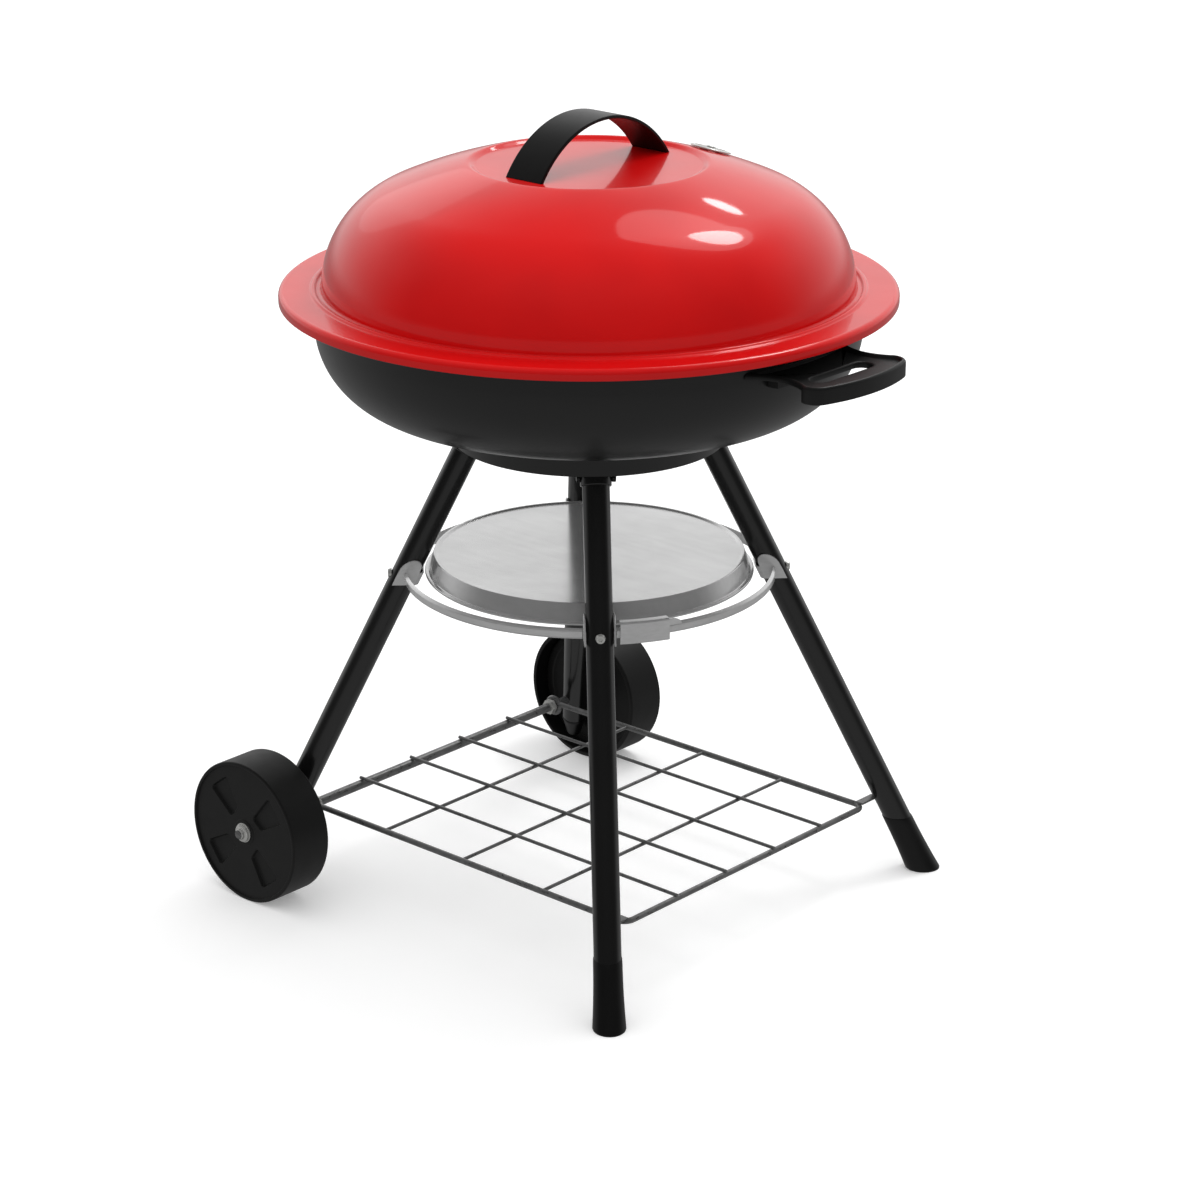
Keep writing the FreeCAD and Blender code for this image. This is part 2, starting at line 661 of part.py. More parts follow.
def clip_screw(bearing, grow=0.0):
    middle = HOOP_BOTTOM + HOOP_HEIGHT / 2
    axis_r = FOOT_SPREAD - LEG_SLOPE * middle
    edge = TUBE_R * math.sqrt(1 + LEG_SLOPE ** 2)
    start = polar(axis_r - edge - CLIP_THICK, bearing, middle)
    end = polar(axis_r + edge + 1.0, bearing, middle)
    shank = tube(start, end, SCREW_R + grow)
    if grow:
        return shank
    head = tube(end - polar(0.6, bearing), end + polar(1.8, bearing), 4.2)
    head = head.cut(tube(leg_point(bearing, 240), leg_point(bearing, 310), TUBE_R + 0.05))
    return shank.fuse(head)


def hoop_joiner():
    """Folded plate over the joint in the hoop, with a small hook at its far end."""
    low, high = HOOP_BOTTOM - 4, HOOP_BOTTOM + HOOP_HEIGHT + 5
    plate = band(HOOP_R + HOOP_THICK / 2 + 1.0, 1.4, low, high)
    sector = wedge(HOOP_R + 20, *JOINER_ARC, low - 1, high + 1)
    hook = band(HOOP_R + HOOP_THICK / 2 + 1.0, 1.4, high - 6, high)
    hook_sector = wedge(HOOP_R + 20, JOINER_ARC[1], JOINER_ARC[1] + 4, low, high + 1)
    lip = band(HOOP_R - 1, 7.2, high - 1.4, high)
    return plate.common(sector).fuse([hook.common(hook_sector), lip.common(sector)])


def wedge(radius, start, end, z0, z1):
    points = [V(0, 0, z0), polar(radius, start, z0), polar(radius, end, z0), V(0, 0, z0)]
    return Part.Face(Part.makePolygon(points)).extrude(V(0, 0, z1 - z0))


def handle_outline(inset=0.0):
    """Waisted plate with a bowed end in plan, for the +X handle, as a face at z = 0."""
    plan = (HANDLE_BASE, HANDLE_WAIST, HANDLE_GRIP, HANDLE_CORNER, HANDLE_TIP)
    base, waist, grip, corner, tip = [V(x, -half, 0) for x, half in plan]
    start = V(BOWL_R - 14, base.y, 0)
    near = [Part.LineSegment(start, base).toShape(),
            Part.Arc(base, waist, grip).toShape(),
            Part.Arc(grip, corner, tip).toShape()]
    far = [edge.mirror(CENTRE, V(0, 1, 0)) for edge in near]
    end = Part.Arc(tip, V(HANDLE_END, 0, 0), V(tip.x, -tip.y, 0)).toShape()
    back = Part.LineSegment(V(start.x, -start.y, 0), start).toShape()
    wire = Part.Wire(Part.__sortEdges__(near + far + [end, back]))
    if inset:
        wire = wire.makeOffset2D(-inset)
    return Part.Face(wire)


def raised(face, z0, z1):
    solid = face.extrude(V(0, 0, z1 - z0))
    solid.translate(V(0, 0, z0))
    return solid


def bowl_handle(side):
    inner, outer = BOWL_R - 20, BOWL_R + 6
    low, high = HANDLE_BOTTOM - 1, HANDLE_TOP + 1
    reach = HANDLE_BASE[1] + 10
    edge_low = HANDLE_TOP - HANDLE_EDGE
    body = raised(handle_outline(), HANDLE_BOTTOM, HANDLE_TOP)
    dish = raised(handle_outline(HANDLE_RIM), HANDLE_DECK, high)
    hollow = raised(handle_outline(HANDLE_WALL), low, HANDLE_DECK - HANDLE_WALL)
    root = block(inner, outer, -HANDLE_ROOT_HALF, HANDLE_ROOT_HALF, low, HANDLE_DECK)
    under = block(inner, HANDLE_SKIRT_AT, -reach, reach, low, edge_low).cut(root)
    slot = raised(handle_slot(), HANDLE_BOTTOM, high)
    lining = raised(handle_slot(SLOT_WALL), HANDLE_DECK - HANDLE_WALL - 2, HANDLE_DECK - 1)
    body = body.cut(dish).cut(hollow.cut(root)).cut(under).fuse(lining).cut(slot)
    body = body.cut(tube(V(0, 0, low - 1), V(0, 0, high), BOWL_R + 0.2))
    for y in HANDLE_SCREW_Y:
        start = V(BOWL_R - 6, y, HANDLE_SCREW_Z)
        body = body.cut(tube(start, start + V(11, 0, 0), SCREW_R + 0.05))
    return body if side > 0 else turned(body, 180)


def handle_slot(grow=0.0):
    x0, x1, half = SLOT_X[0] - grow, SLOT_X[1] + grow, SLOT_HALF + grow
    r = (x1 - x0) / 2
    straight = Part.makePlane(x1 - x0, 2 * (half - r), V(x0, -(half - r), 0))
    ends = [Part.Face(Part.Wire([Part.makeCircle(r, V((x0 + x1) / 2, s * (half - r), 0))])) for s in (1, -1)]
    return straight.fuse(ends).removeSplitter().Faces[0]


def handle_screws():
    pieces = []
    for side in (1, -1):
        for y in HANDLE_SCREW_Y:
            wall = side * math.sqrt((BOWL_R - SHEET) ** 2 - y ** 2)
            tip = V(side * (BOWL_R + 4), y, HANDLE_SCREW_Z)
            shank = tube(V(wall - side * 1.5, y, HANDLE_SCREW_Z), tip, SCREW_R)
            head = tube(V(wall - side * 2.8, y, HANDLE_SCREW_Z), V(wall - side * 0.9, y, HANDLE_SCREW_Z), 4)
            pieces.append(shank.fuse(head).removeSplitter())
    return Part.makeCompound(pieces)


def torus(radius, rod, z):
    return Part.makeTorus(radius, rod, V(0, 0, z))


def grate_wires(radius, hoop_rod, z, rod, pitch):
    """Parallel bars that end on the inner side of a round hoop."""
    wires = []
    count = int((radius - 2 * hoop_rod - rod) / pitch)
    for i in range(-count, count + 1):
        x = i * pitch
        reach = math.sqrt((radius - hoop_rod) ** 2 - (abs(x) + rod) ** 2)
        wires.append(tube(V(x, -reach, z), V(x, reach, z), rod))
    return wires


def cooking_grate_bars():
    wires = grate_wires(COOK_R, COOK_ROD_R, COOK_Z, COOK_WIRE_R, COOK_PITCH)
    cross_z = COOK_Z - 2 * COOK_WIRE_R + WELD
    for y in (-90, 90):
        reach = math.sqrt((COOK_R - 8) ** 2 - y ** 2)
        wires.append(tube(V(-reach, y, cross_z), V(reach, y, cross_z), COOK_WIRE_R))
    return wires[0].fuse(wires[1:])


def charcoal_grate_bars():
    wires = grate_wires(COAL_R, COAL_ROD_R, COAL_Z, COAL_ROD_R, COAL_PITCH)
    cross_z = COAL_Z + 2 * COAL_ROD_R - WELD
    for y in (-70, 70):
        reach = math.sqrt((COAL_R - 10) ** 2 - y ** 2)
        wires.append(tube(V(-reach, y, cross_z), V(reach, y, cross_z), COAL_ROD_R))
    return wires[0].fuse(wires[1:])


def grate_brackets():
    """Bent tabs spot-welded to the bowl's wall that carry the cooking grate."""
    top = COOK_Z - COOK_ROD_R - GAP
    inside = bowl_envelope(-SHEET - 0.05)
    pieces = []
    for bearing in BRACKET_BEARINGS:
        shelf = block(BOWL_R - 22, BOWL_R - 4, -8, 8, top - 1.5, top)
        plate = block(BOWL_R - 4, BOWL_R - 2, -8, 8, top - 16, top)
        piece = turned(shelf.fuse(plate).removeSplitter(), bearing + 22.5)
        pieces.append(piece.common(inside))
    return Part.makeCompound(pieces)


def bowl_damper():
    low = DAMPER_TOP - DAMPER_THICK
    plate = tube(V(0, 0, low), V(0, 0, DAMPER_TOP), DAMPER_R)
    holes = turned(vent_holes(VENT_HOLE_R, VENT_PITCH_R, 4, low - 1, DAMPER_TOP + 1), 45)
    plate = plate.cut(holes).cut(tube(V(0, 0, low - 1), V(0, 0, DAMPER_TOP + 1), RIVET_R + 0.05))
    arm = block(DAMPER_R - 6, 74, -6, 6, low, DAMPER_TOP)
    grip = block(72, 74, -6, 6, low - 18, DAMPER_TOP)
    return plate.fuse([arm, grip]).removeSplitter()


def damper_rivet():
    low = DAMPER_TOP - DAMPER_THICK
    pin = tube(V(0, 0, low - 2), V(0, 0, BOWL_BOTTOM + SHEET + 1.5), RIVET_R)
    head = tube(V(0, 0, low - 2.4), V(0, 0, low - GAP), 6)
    tail = tube(V(0, 0, BOWL_BOTTOM + SHEET + 0.1), V(0, 0, BOWL_BOTTOM + SHEET + 2), 6)
    return pin.fuse([head, tail]).removeSplitter()


def build():
    kettle = bowl_envelope(0.2)
    parts = {"bowl": bowl(), "leg_ring": leg_ring(kettle)}
    for name in BEARINGS:
        parts["leg_" + name] = leg(name)
        parts["socket_" + name] = leg_socket(name, kettle)
        parts["clip_" + name] = hoop_clip(name)
    for name in FOOTED:
        parts["cap_" + name] = foot_cap(name)
    for name in WHEELED:
        parts["plug_" + name] = end_plug(name)
    parts["socket_bolts"] = Part.makeCompound([socket_bolt(b) for b in BEARINGS.values()])
    parts["clip_screws"] = Part.makeCompound([clip_screw(b) for b in BEARINGS.values()])
    for side_name, side in SIDES.items():
        parts["wheel_" + side_name] = wheel(side)
        parts["wheel_back_" + side_name] = wheel_back(side)
    parts["axle"] = axle()
    parts["axle_washers"] = axle_washers()
    parts["axle_cap_nuts"] = axle_cap_nuts()
    parts["axle_nuts"] = axle_nuts()
    parts["rack_rail"] = rack_rail()
    parts["rack_wires"] = rack_wires()
    parts["rack_brackets"] = rack_brackets()
    parts["ash_tray"] = ash_tray()
    parts.update(hoop_arcs())
    parts["hoop_joiner"] = hoop_joiner()
    parts["bowl_handle_foot_side"] = bowl_handle(1)
    parts["bowl_handle_wheel_side"] = bowl_handle(-1)
    parts["handle_screws"] = handle_screws()
    parts["grate_brackets"] = grate_brackets()
    parts["cooking_grate_hoop"] = torus(COOK_R, COOK_ROD_R, COOK_Z)
    parts["cooking_grate_bars"] = cooking_grate_bars()
    parts["charcoal_grate_hoop"] = torus(COAL_R, COAL_ROD_R, COAL_Z)
    parts["charcoal_grate_bars"] = charcoal_grate_bars()
    parts["bowl_damper"] = bowl_damper()
    parts["damper_rivet"] = damper_rivet()
    parts["lid_shell"] = lid_shell()
    parts["lid_handle"] = lid_handle()
    parts["handle_push_nuts"] = handle_push_nuts()
    parts["lid_damper"] = lid_damper()
    parts["lid_damper_rivet"] = lid_damper_rivet()
    return parts


def main():
    os.makedirs("parts", exist_ok=True)
    for name, shape in build().items():
        shape.exportStep(os.path.join("parts", name + ".step"))
        box = shape.BoundBox
        print(name, "valid" if shape.isValid() else "INVALID", len(shape.Solids),
              [round(v, 1) for v in (box.XMin, box.XMax, box.YMin, box.YMax, box.ZMin, box.ZMax)])


main()
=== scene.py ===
"""Kettle charcoal grill on two wheels: the looks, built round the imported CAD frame.

Lengths in this file are millimetres in the frame's axes until piece() scales them to metres.
"""
import math
import bmesh
import bpy
from mathutils import Matrix, Vector


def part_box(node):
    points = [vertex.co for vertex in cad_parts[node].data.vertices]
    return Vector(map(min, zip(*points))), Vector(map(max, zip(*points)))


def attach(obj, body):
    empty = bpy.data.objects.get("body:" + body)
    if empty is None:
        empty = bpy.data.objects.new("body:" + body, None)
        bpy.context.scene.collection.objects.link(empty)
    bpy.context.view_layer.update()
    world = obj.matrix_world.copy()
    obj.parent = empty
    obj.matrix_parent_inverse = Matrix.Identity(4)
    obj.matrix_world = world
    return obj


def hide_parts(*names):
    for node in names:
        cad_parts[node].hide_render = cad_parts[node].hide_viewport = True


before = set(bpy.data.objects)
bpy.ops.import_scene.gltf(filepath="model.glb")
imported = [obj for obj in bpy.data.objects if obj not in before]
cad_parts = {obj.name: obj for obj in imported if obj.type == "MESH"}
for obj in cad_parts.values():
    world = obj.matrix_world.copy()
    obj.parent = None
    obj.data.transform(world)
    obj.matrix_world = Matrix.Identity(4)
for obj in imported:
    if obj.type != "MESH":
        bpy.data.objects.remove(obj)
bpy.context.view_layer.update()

MM = 0.001
ROUND = 192                 # steps round the lid, the bowl and the tray
FINE = 48                   # steps round tubes, nuts and screws
UP = Vector((0, 0, 1))
AXIS = 0.002                # radius where a solid profile closes at its axis


def corners_of(node):
    """Lowest and highest corner of a CAD node, in millimetres."""
    low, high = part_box(node)
    return low / MM, high / MM


# Kettle
LID_LOW, LID_HIGH = corners_of("lid_shell")
BOWL_LOW, BOWL_HIGH = corners_of("bowl")
SHEET = 1.2
BRIM_R = (LID_HIGH.x - LID_LOW.x) / 2
LIP_DROP = 9.0
LID_BASE = LID_LOW.z + LIP_DROP
LID_R = 215.5
LID_RISE = 112.0
LID_KNUCKLE = 85.0
RECESS_R = 97.0
RECESS_FLOOR_R = 91.0
RECESS_FLOOR = 620.5
VENT_AT = 118.0
VENT_BEARING = 75.0
LID_DAMPER_R = 17.0
VENT_PITCH = 10.0
VENT_HOLE_R = 3.5
BOTTOM_HOLE_AT = 26.0
BOTTOM_HOLE_R = 8.0
BOWL_R = 222.0
BOWL_BOTTOM = BOWL_LOW.z
BOWL_SHOULDER = 495.0
BOWL_KNUCKLE = 70.0
RIM_R = BOWL_HIGH.x
RIM_TOP = BOWL_HIGH.z
RIM_DROP = 6.0

# Strap handle
STRAP_WIDTH = 38.0
STRAP_THICK = 3.0
STRAP_HALF_SPAN = 77.0
STRAP_TOP = corners_of("lid_handle")[1].z

# Legs
TUBE_R = 11.0
FOOT_SPREAD = 288.0
LEG_SLOPE = 0.486
LEG_TOP = 399.0
FOOT_LEG_END = 8.0
WHEEL_LEG_END = 40.0
PLUG_TIP = 20.0
SOCKET_R = 12.6
SOCKET_BOTTOM = 384.0
BOLT_UP = 7.0
RING_R = 112.0
RING_TOP_R = 117.0
RING_BOTTOM = 395.0
CAP_TOP = 50.0
CAP_TOP_R = 11.6
CAP_FOOT_R = 13.5
BEARINGS = {"foot_near": -45.0, "foot_far": 45.0, "wheel_far": 135.0, "wheel_near": -135.0}

# Wheels and rack
WHEEL_LOW, WHEEL_HIGH = corners_of("wheel_near")
WHEEL_R = (WHEEL_HIGH.z - WHEEL_LOW.z) / 2
WHEEL_OUTER = -WHEEL_LOW.y
WHEEL_INNER = -WHEEL_HIGH.y
AXLE_X = (WHEEL_LOW.x + WHEEL_HIGH.x) / 2
WHEEL_STEPS = 128
TREAD_THICK = 4.0
FACE_RECESS = 1.5
POCKET = [(10, 15), (21, 7), (46, 20), (31, 40)]
POCKET_DEPTH = 2.5
BACK_FACE = 206.0
HUB_R = 11.0
AXLE_R = 4.0
RACK_HALF_WIDTH = 154.0
RACK_FRONT = 176.0
RAIL_R = 2.5
EYE_R = 7.0
WIRE_R = 1.5
RAIL_Z = WHEEL_R + RAIL_R
LONG_WIRE_Z = WHEEL_R + AXLE_R + WIRE_R + 0.1
LONG_WIRES = 4
CROSS_WIRES = 3

# Ash tray and hoop
TRAY_DISC_R = 129.0
TRAY_TOP = 294.0
TRAY_RIM_R = 136.5
TRAY_RIM = 279.0
HOOP_R = 153.0
HOOP_BOTTOM = 274.0
HOOP_HEIGHT = 9.0
HOOP_MIDDLE = HOOP_BOTTOM + HOOP_HEIGHT / 2
CLIP_THICK = 1.5
CLIP_HEIGHT = 11.0
CLIP_LOWERED = 1.5
CLIP_EAR_R = 9.0
CLIP_EAR_RISE = 5.5
LEDGE_HALF = 7.0
LEDGE_OUT = 18.0
LEDGE_IN = 6.0
HOOP_ENDS = {"foot_side": -45.0, "far_side": 45.0, "wheel_side": 135.0, "near_side": -135.0}
HOOP_GAP = 5.1

# Bowl handles
HANDLE_LOW, HANDLE_HIGH = corners_of("bowl_handle_foot_side")
HANDLE_DECK = 499.0
HANDLE_BASE = (214.0, -62.0)
HANDLE_WAIST = (246.0, -50.0)
HANDLE_GRIP = (265.0, -57.0)
HANDLE_CORNER = (276.5, -56.0)
HANDLE_TIP = (282.0, -49.0)
HANDLE_SKIRT_AT = 265.0
HANDLE_EDGE = 5.0
HANDLE_ROOT_HALF = 40.0
HANDLE_SCREW_Y = 30.0
HANDLE_SCREW_Z = 493.0
SLOT_X = 258.0
SLOT_HALF = 34.0
SLOT_R = 8.0

# Grates and the bottom damper
COOK_R = 208.0
COOK_Z = 503.0
COAL_R = 168.0
COAL_Z = 431.5
DAMPER_R = 42.0
DAMPER_TOP = 399.0
DAMPER_THICK = 1.5


# ---------------------------------------------------------------- shapes

def polar(radius, bearing, z=0.0):
    t = math.radians(bearing)
    return Vector((radius * math.cos(t), radius * math.sin(t), z))


def leg_point(bearing, z):
    return polar(FOOT_SPREAD - LEG_SLOPE * z, bearing, z)


def leg_way(bearing):
    """Unit vector up along a leg."""
    return (leg_point(bearing, 100) - leg_point(bearing, 0)).normalized()


def place(origin, axis):
    """Matrix that takes the Z axis to a line through origin."""
    return Matrix.Translation(origin) @ axis.to_track_quat("Z", "Y").to_matrix().to_4x4()


def rounded(corners, closed=False, steps=5):
    """Points of a path whose corners, given as (coordinates, radius), are replaced by arcs."""
    points = [Vector(c) for c, _ in corners]
    result = []
    for i, (_, radius) in enumerate(corners):
        here = points[i]
        if not closed and i in (0, len(points) - 1) or radius == 0:
            result.append(here)
            continue
        back, on = points[i - 1] - here, points[(i + 1) % len(points)] - here
        half = back.angle(on) / 2
        if abs(half - math.pi / 2) < 0.001:
            result.append(here)
            continue
        reach = min(radius / math.tan(half), back.length * 0.49, on.length * 0.49)
        radius = reach * math.tan(half)
        middle = here + (back.normalized() + on.normalized()).normalized() * (radius / math.sin(half))
        start, end = here + back.normalized() * reach - middle, here + on.normalized() * reach - middle
        turn = math.pi - 2 * half
        for k in range(steps + 1):
            t = k / steps
            way = start * math.sin((1 - t) * turn) + end * math.sin(t * turn)
            result.append(middle + way / math.sin(turn))
    return result


def arc_points(centre, radius, start, end, steps):
    """2-D points on an arc between two angles in degrees."""
    points = []
    for k in range(steps + 1):
        t = math.radians(start + (end - start) * k / steps)
        points.append(Vector((centre[0] + radius * math.cos(t), centre[1] + radius * math.sin(t))))
    return points


def ring(radius, z, steps=FINE, start=0.0):
    return [polar(radius, start + 360 * i / steps, z) for i in range(steps)]


def loft(bm, loops, wrap=False, cap=True, closed=True):
    """Skin loops of points that all have the same count."""
    rows = [[bm.verts.new(p) for p in loop] for loop in loops]
    pairs = list(zip(rows, rows[1:]))
    if wrap:
        pairs.append((rows[-1], rows[0]))
    for low, high in pairs:
        count = len(low)
        for i in range(count if closed else count - 1):
            k = (i + 1) % count
            bm.faces.new((low[i], low[k], high[k], high[i]))
    if cap and not wrap:
        bm.faces.new(rows[0][::-1])
        bm.faces.new(rows[-1])


def turn(bm, profile, where=Matrix.Identity(4), steps=FINE, wrap=False):
    """Revolve a profile of (radius, height) points about the Z axis of a placing matrix."""
    loft(bm, [[where @ p for p in ring(r, z, steps)] for r, z in profile], wrap)


def band_arc(bm, profile, start, end, steps):
    """Sweep a closed (radius, height) profile round the Z axis between two bearings."""
    loops = []
    for k in range(steps + 1):
        bearing = start + (end - start) * k / steps
        loops.append([polar(r, bearing, z) for r, z in profile])
    loft(bm, loops)


def sweep(bm, path, section, wrap=False, up=None):
    """Carry a 2-D section along a path without twist, or with its second axis held along up."""
    count = len(path)
    loops = []
    side = None
    for i, here in enumerate(path):
        before = path[i - 1] if i or wrap else here
        after = path[(i + 1) % count] if i < count - 1 or wrap else here
        way = (after - before).normalized()
        if up is not None:
            side = way.cross(up).normalized()
            rise = up
        else:
            if side is None:
                side = way.orthogonal().normalized()
            side = (side - way * side.dot(way)).normalized()
            rise = side.cross(way)
        loops.append([here + side * s[0] + rise * s[1] for s in section])
    loft(bm, loops, wrap)


def circle(radius, steps=16):
    return arc_points((0, 0), radius, 0, 360 - 360 / steps, steps - 1)


def slab(width, thick, round_by, steps=3):
    """Closed rectangle with rounded corners, centred."""
    w, t = width / 2, thick / 2
    corners = [((-w, -t), round_by), ((w, -t), round_by), ((w, t), round_by), ((-w, t), round_by)]
    return rounded(corners, closed=True, steps=steps)


def rod_profile(radius, length, edge=0.6):
    """Profile of a rod with rounded ends."""
    return rounded([((AXIS, 0), 0), ((radius, 0), edge), ((radius, length), edge),
                    ((AXIS, length), 0)], steps=3)


def rod(bm, start, end, radius, steps=FINE, edge=0.6):
    turn(bm, rod_profile(radius, (end - start).length, edge), place(start, end - start), steps)


def add_object(name, data):
    obj = bpy.data.objects.new(name, data)
    bpy.context.scene.collection.objects.link(obj)
    return obj


def metre_mesh(name, bm):
    """Mesh in metres, with its faces outward, of closed shapes in millimetres."""
    bmesh.ops.recalc_face_normals(bm, faces=bm.faces)
    bmesh.ops.scale(bm, vec=(MM, MM, MM), verts=bm.verts)
    mesh = bpy.data.meshes.new(name)
    bm.to_mesh(mesh)
    bm.free()
    return mesh


def piece(name, bm, material, body, node=None, sharp=35):
    """Turn a millimetre mesh into a piece that rides on a body in place of a CAD node.

    The node has the piece's own name unless another is given.
    """
    mesh = metre_mesh(name, bm)
    mesh.shade_smooth()
    mesh.set_sharp_from_angle(angle=math.radians(sharp))
    mesh.materials.append(material)
    obj = add_object(name, mesh)
    obj.modifiers.new("normals", "WEIGHTED_NORMAL").keep_sharp = True
    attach(obj, body)
    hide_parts(node or name)
    return obj


def bore(obj, cuts):
    """Cut closed shapes, made by the given functions in millimetres, out of a piece for good."""
    bm = bmesh.new()
    for make in cuts:
        make(bm)
    cutter = add_object("cutter", metre_mesh("cutter", bm))
    shading = obj.modifiers[0]
    shading.show_viewport = False
    change = obj.modifiers.new("bore", "BOOLEAN")
    change.object = cutter
    change.solver = "EXACT"
    bpy.context.view_layer.update()
    depsgraph = bpy.context.evaluated_depsgraph_get()
    result = bpy.data.meshes.new_from_object(obj.evaluated_get(depsgraph))
    obj.modifiers.remove(change)
    obj.data = result
    shading.show_viewport = True
    bpy.data.objects.remove(cutter)


# ---------------------------------------------------------------- materials

def linear(red, green, blue):
    """Linear colour of a display colour given in 0-255."""
    def channel(value):
        value /= 255
        return value / 12.92 if value <= 0.04045 else ((value + 0.055) / 1.055) ** 2.4
    return (channel(red), channel(green), channel(blue), 1.0)


class Finish:
    """A procedural material: colour, roughness and bump vary with the piece's own coordinates."""

    def __init__(self, name, metallic=0.0, coat=0.0, coat_roughness=0.03, specular=0.5):
        self.material = bpy.data.materials.new(name)
        self.material.use_nodes = True
        self.nodes = self.material.node_tree.nodes
        self.links = self.material.node_tree.links
        self.shader = self.nodes["Principled BSDF"]
        self.shader.inputs["Metallic"].default_value = metallic
        self.shader.inputs["Coat Weight"].default_value = coat
        self.shader.inputs["Coat Roughness"].default_value = coat_roughness
        self.shader.inputs["Specular IOR Level"].default_value = specular
        self.coordinates = self.nodes.new("ShaderNodeTexCoord").outputs["Object"]
        self.height = None

    def stretched(self, x, y, z):
        node = self.nodes.new("ShaderNodeMapping")
        node.inputs["Scale"].default_value = (x, y, z)
        self.links.new(self.coordinates, node.inputs["Vector"])
        return node.outputs["Vector"]

    def noise(self, size, detail=3.0, where=None):
        """Noise whose features are about size millimetres wide."""
        node = self.nodes.new("ShaderNodeTexNoise")
        node.inputs["Scale"].default_value = 1 / (size * MM)
        node.inputs["Detail"].default_value = detail
        self.links.new(where or self.coordinates, node.inputs["Vector"])
        return node.outputs["Fac"]

    def cells(self, size):
        node = self.nodes.new("ShaderNodeTexVoronoi")
        node.inputs["Scale"].default_value = 1 / (size * MM)
        self.links.new(self.coordinates, node.inputs["Vector"])
        return node.outputs["Distance"]

    def ramp(self, fac, stops):
        node = self.nodes.new("ShaderNodeValToRGB")
        elements = node.color_ramp.elements
        while len(elements) < len(stops):
            elements.new(0.5)
        for element, (position, colour) in zip(elements, stops):
            element.position = position
            element.color = colour
        self.links.new(fac, node.inputs["Fac"])
        return node.outputs["Color"]

    def blend(self, fac, first, second, mode="MIX"):
        node = self.nodes.new("ShaderNodeMix")
        node.data_type = "RGBA"
        node.blend_type = mode
        for value, socket in ((fac, node.inputs["Factor"]), (first, node.inputs["A"]),
                              (second, node.inputs["B"])):
            if isinstance(value, (float, tuple)):
                socket.default_value = value
            else:
                self.links.new(value, socket)
        return node.outputs["Result"]

    def colour(self, value):
        self.links.new(value, self.shader.inputs["Base Color"])

    def roughness(self, fac, low, high):
        node = self.nodes.new("ShaderNodeMapRange")
        node.inputs["To Min"].default_value = low
        node.inputs["To Max"].default_value = high
        self.links.new(fac, node.inputs["Value"])
        self.links.new(node.outputs["Result"], self.shader.inputs["Roughness"])

    def bump(self, fac, depth, strength=1.0):
        """Add relief whose full height is depth millimetres."""
        node = self.nodes.new("ShaderNodeBump")
        node.inputs["Distance"].default_value = depth * MM
        node.inputs["Strength"].default_value = strength
        self.links.new(fac, node.inputs["Height"])
        if self.height:
            self.links.new(self.height, node.inputs["Normal"])
        self.height = node.outputs["Normal"]
        self.links.new(self.height, self.shader.inputs["Normal"])


def enamel(name, deep, bright, rough, coat, coat_roughness, specular, speck):
    """Fired enamel: slow colour drift, fine specks and a faint orange-peel surface under gloss."""
    finish = Finish(name, coat=coat, coat_roughness=coat_roughness, specular=specular)
    drift = finish.ramp(finish.noise(90, 2), [(0.35, deep), (0.65, bright)])
    specks = finish.ramp(finish.noise(1.1, 5), [(0.28, (0.72, 0.72, 0.72, 1)), (0.36, (1, 1, 1, 1))])
    finish.colour(finish.blend(speck, drift, specks, "MULTIPLY"))
    finish.roughness(finish.noise(25), *rough)
    finish.bump(finish.noise(14, 1), 0.0012)
    return finish.material


def moulded(name, dark, light, rough, grain, specular=0.4):
    """Moulded plastic: fine spark-eroded grain with a slow change of sheen."""
    finish = Finish(name, specular=specular)
    fine = finish.noise(0.6, 4)
    finish.colour(finish.blend(finish.noise(30, 2), dark, light))
    finish.roughness(finish.noise(14, 4), *rough)
    finish.bump(fine, grain, 0.6)
    finish.bump(finish.noise(9, 2), grain)
    return finish.material


def rolled_metal(name, dark, light, rough, streak, stretch, depth=0.004, metallic=0.65):
    """Sheet or drawn wire: streaks along the rolling direction, small pits and cloudy sheen."""
    finish = Finish(name, metallic=metallic)
    streaks = finish.noise(streak, 6, finish.stretched(*stretch))
    clouds = finish.noise(35, 4)
    base = finish.blend(streaks, dark, light)
    shade = finish.ramp(clouds, [(0.3, (0.9, 0.9, 0.9, 1)), (0.7, (1, 1, 1, 1))])
    finish.colour(finish.blend(1.0, base, shade, "MULTIPLY"))
    finish.roughness(streaks, *rough)
    finish.bump(streaks, depth)
    finish.bump(finish.cells(2.5), depth / 2, 0.5)
    return finish.material


LID_ENAMEL = enamel("lid_enamel", linear(204, 5, 7), linear(214, 8, 9),
                    (0.3, 0.36), 0.75, 0.06, 0.1, 0.12)
BOWL_ENAMEL = enamel("bowl_enamel", linear(12, 12, 12), linear(18, 18, 17),
                     (0.34, 0.42), 0.3, 0.16, 0.5, 0.35)
LEG_ENAMEL = enamel("leg_enamel", linear(7, 7, 7), linear(11, 11, 11),
                    (0.26, 0.34), 0.7, 0.08, 0.5, 0.35)
STRAP_PAINT = moulded("strap_paint", linear(6, 6, 6), linear(9, 9, 9), (0.3, 0.4), 0.006, 0.3)
HANDLE_PLASTIC = moulded("handle_plastic", linear(13, 13, 13), linear(19, 19, 19), (0.34, 0.5), 0.012)
WHEEL_PLASTIC = moulded("wheel_plastic", linear(11, 11, 11), linear(16, 16, 15), (0.42, 0.6), 0.015)
FOOT_PLASTIC = moulded("foot_plastic", linear(7, 7, 7), linear(12, 12, 12), (0.3, 0.4), 0.008)
TRAY_STEEL = rolled_metal("tray_steel", linear(222, 222, 222), linear(238, 238, 238),
                          (0.14, 0.2), 6.0, (0.1, 1, 1), 0.0008, 0.7)
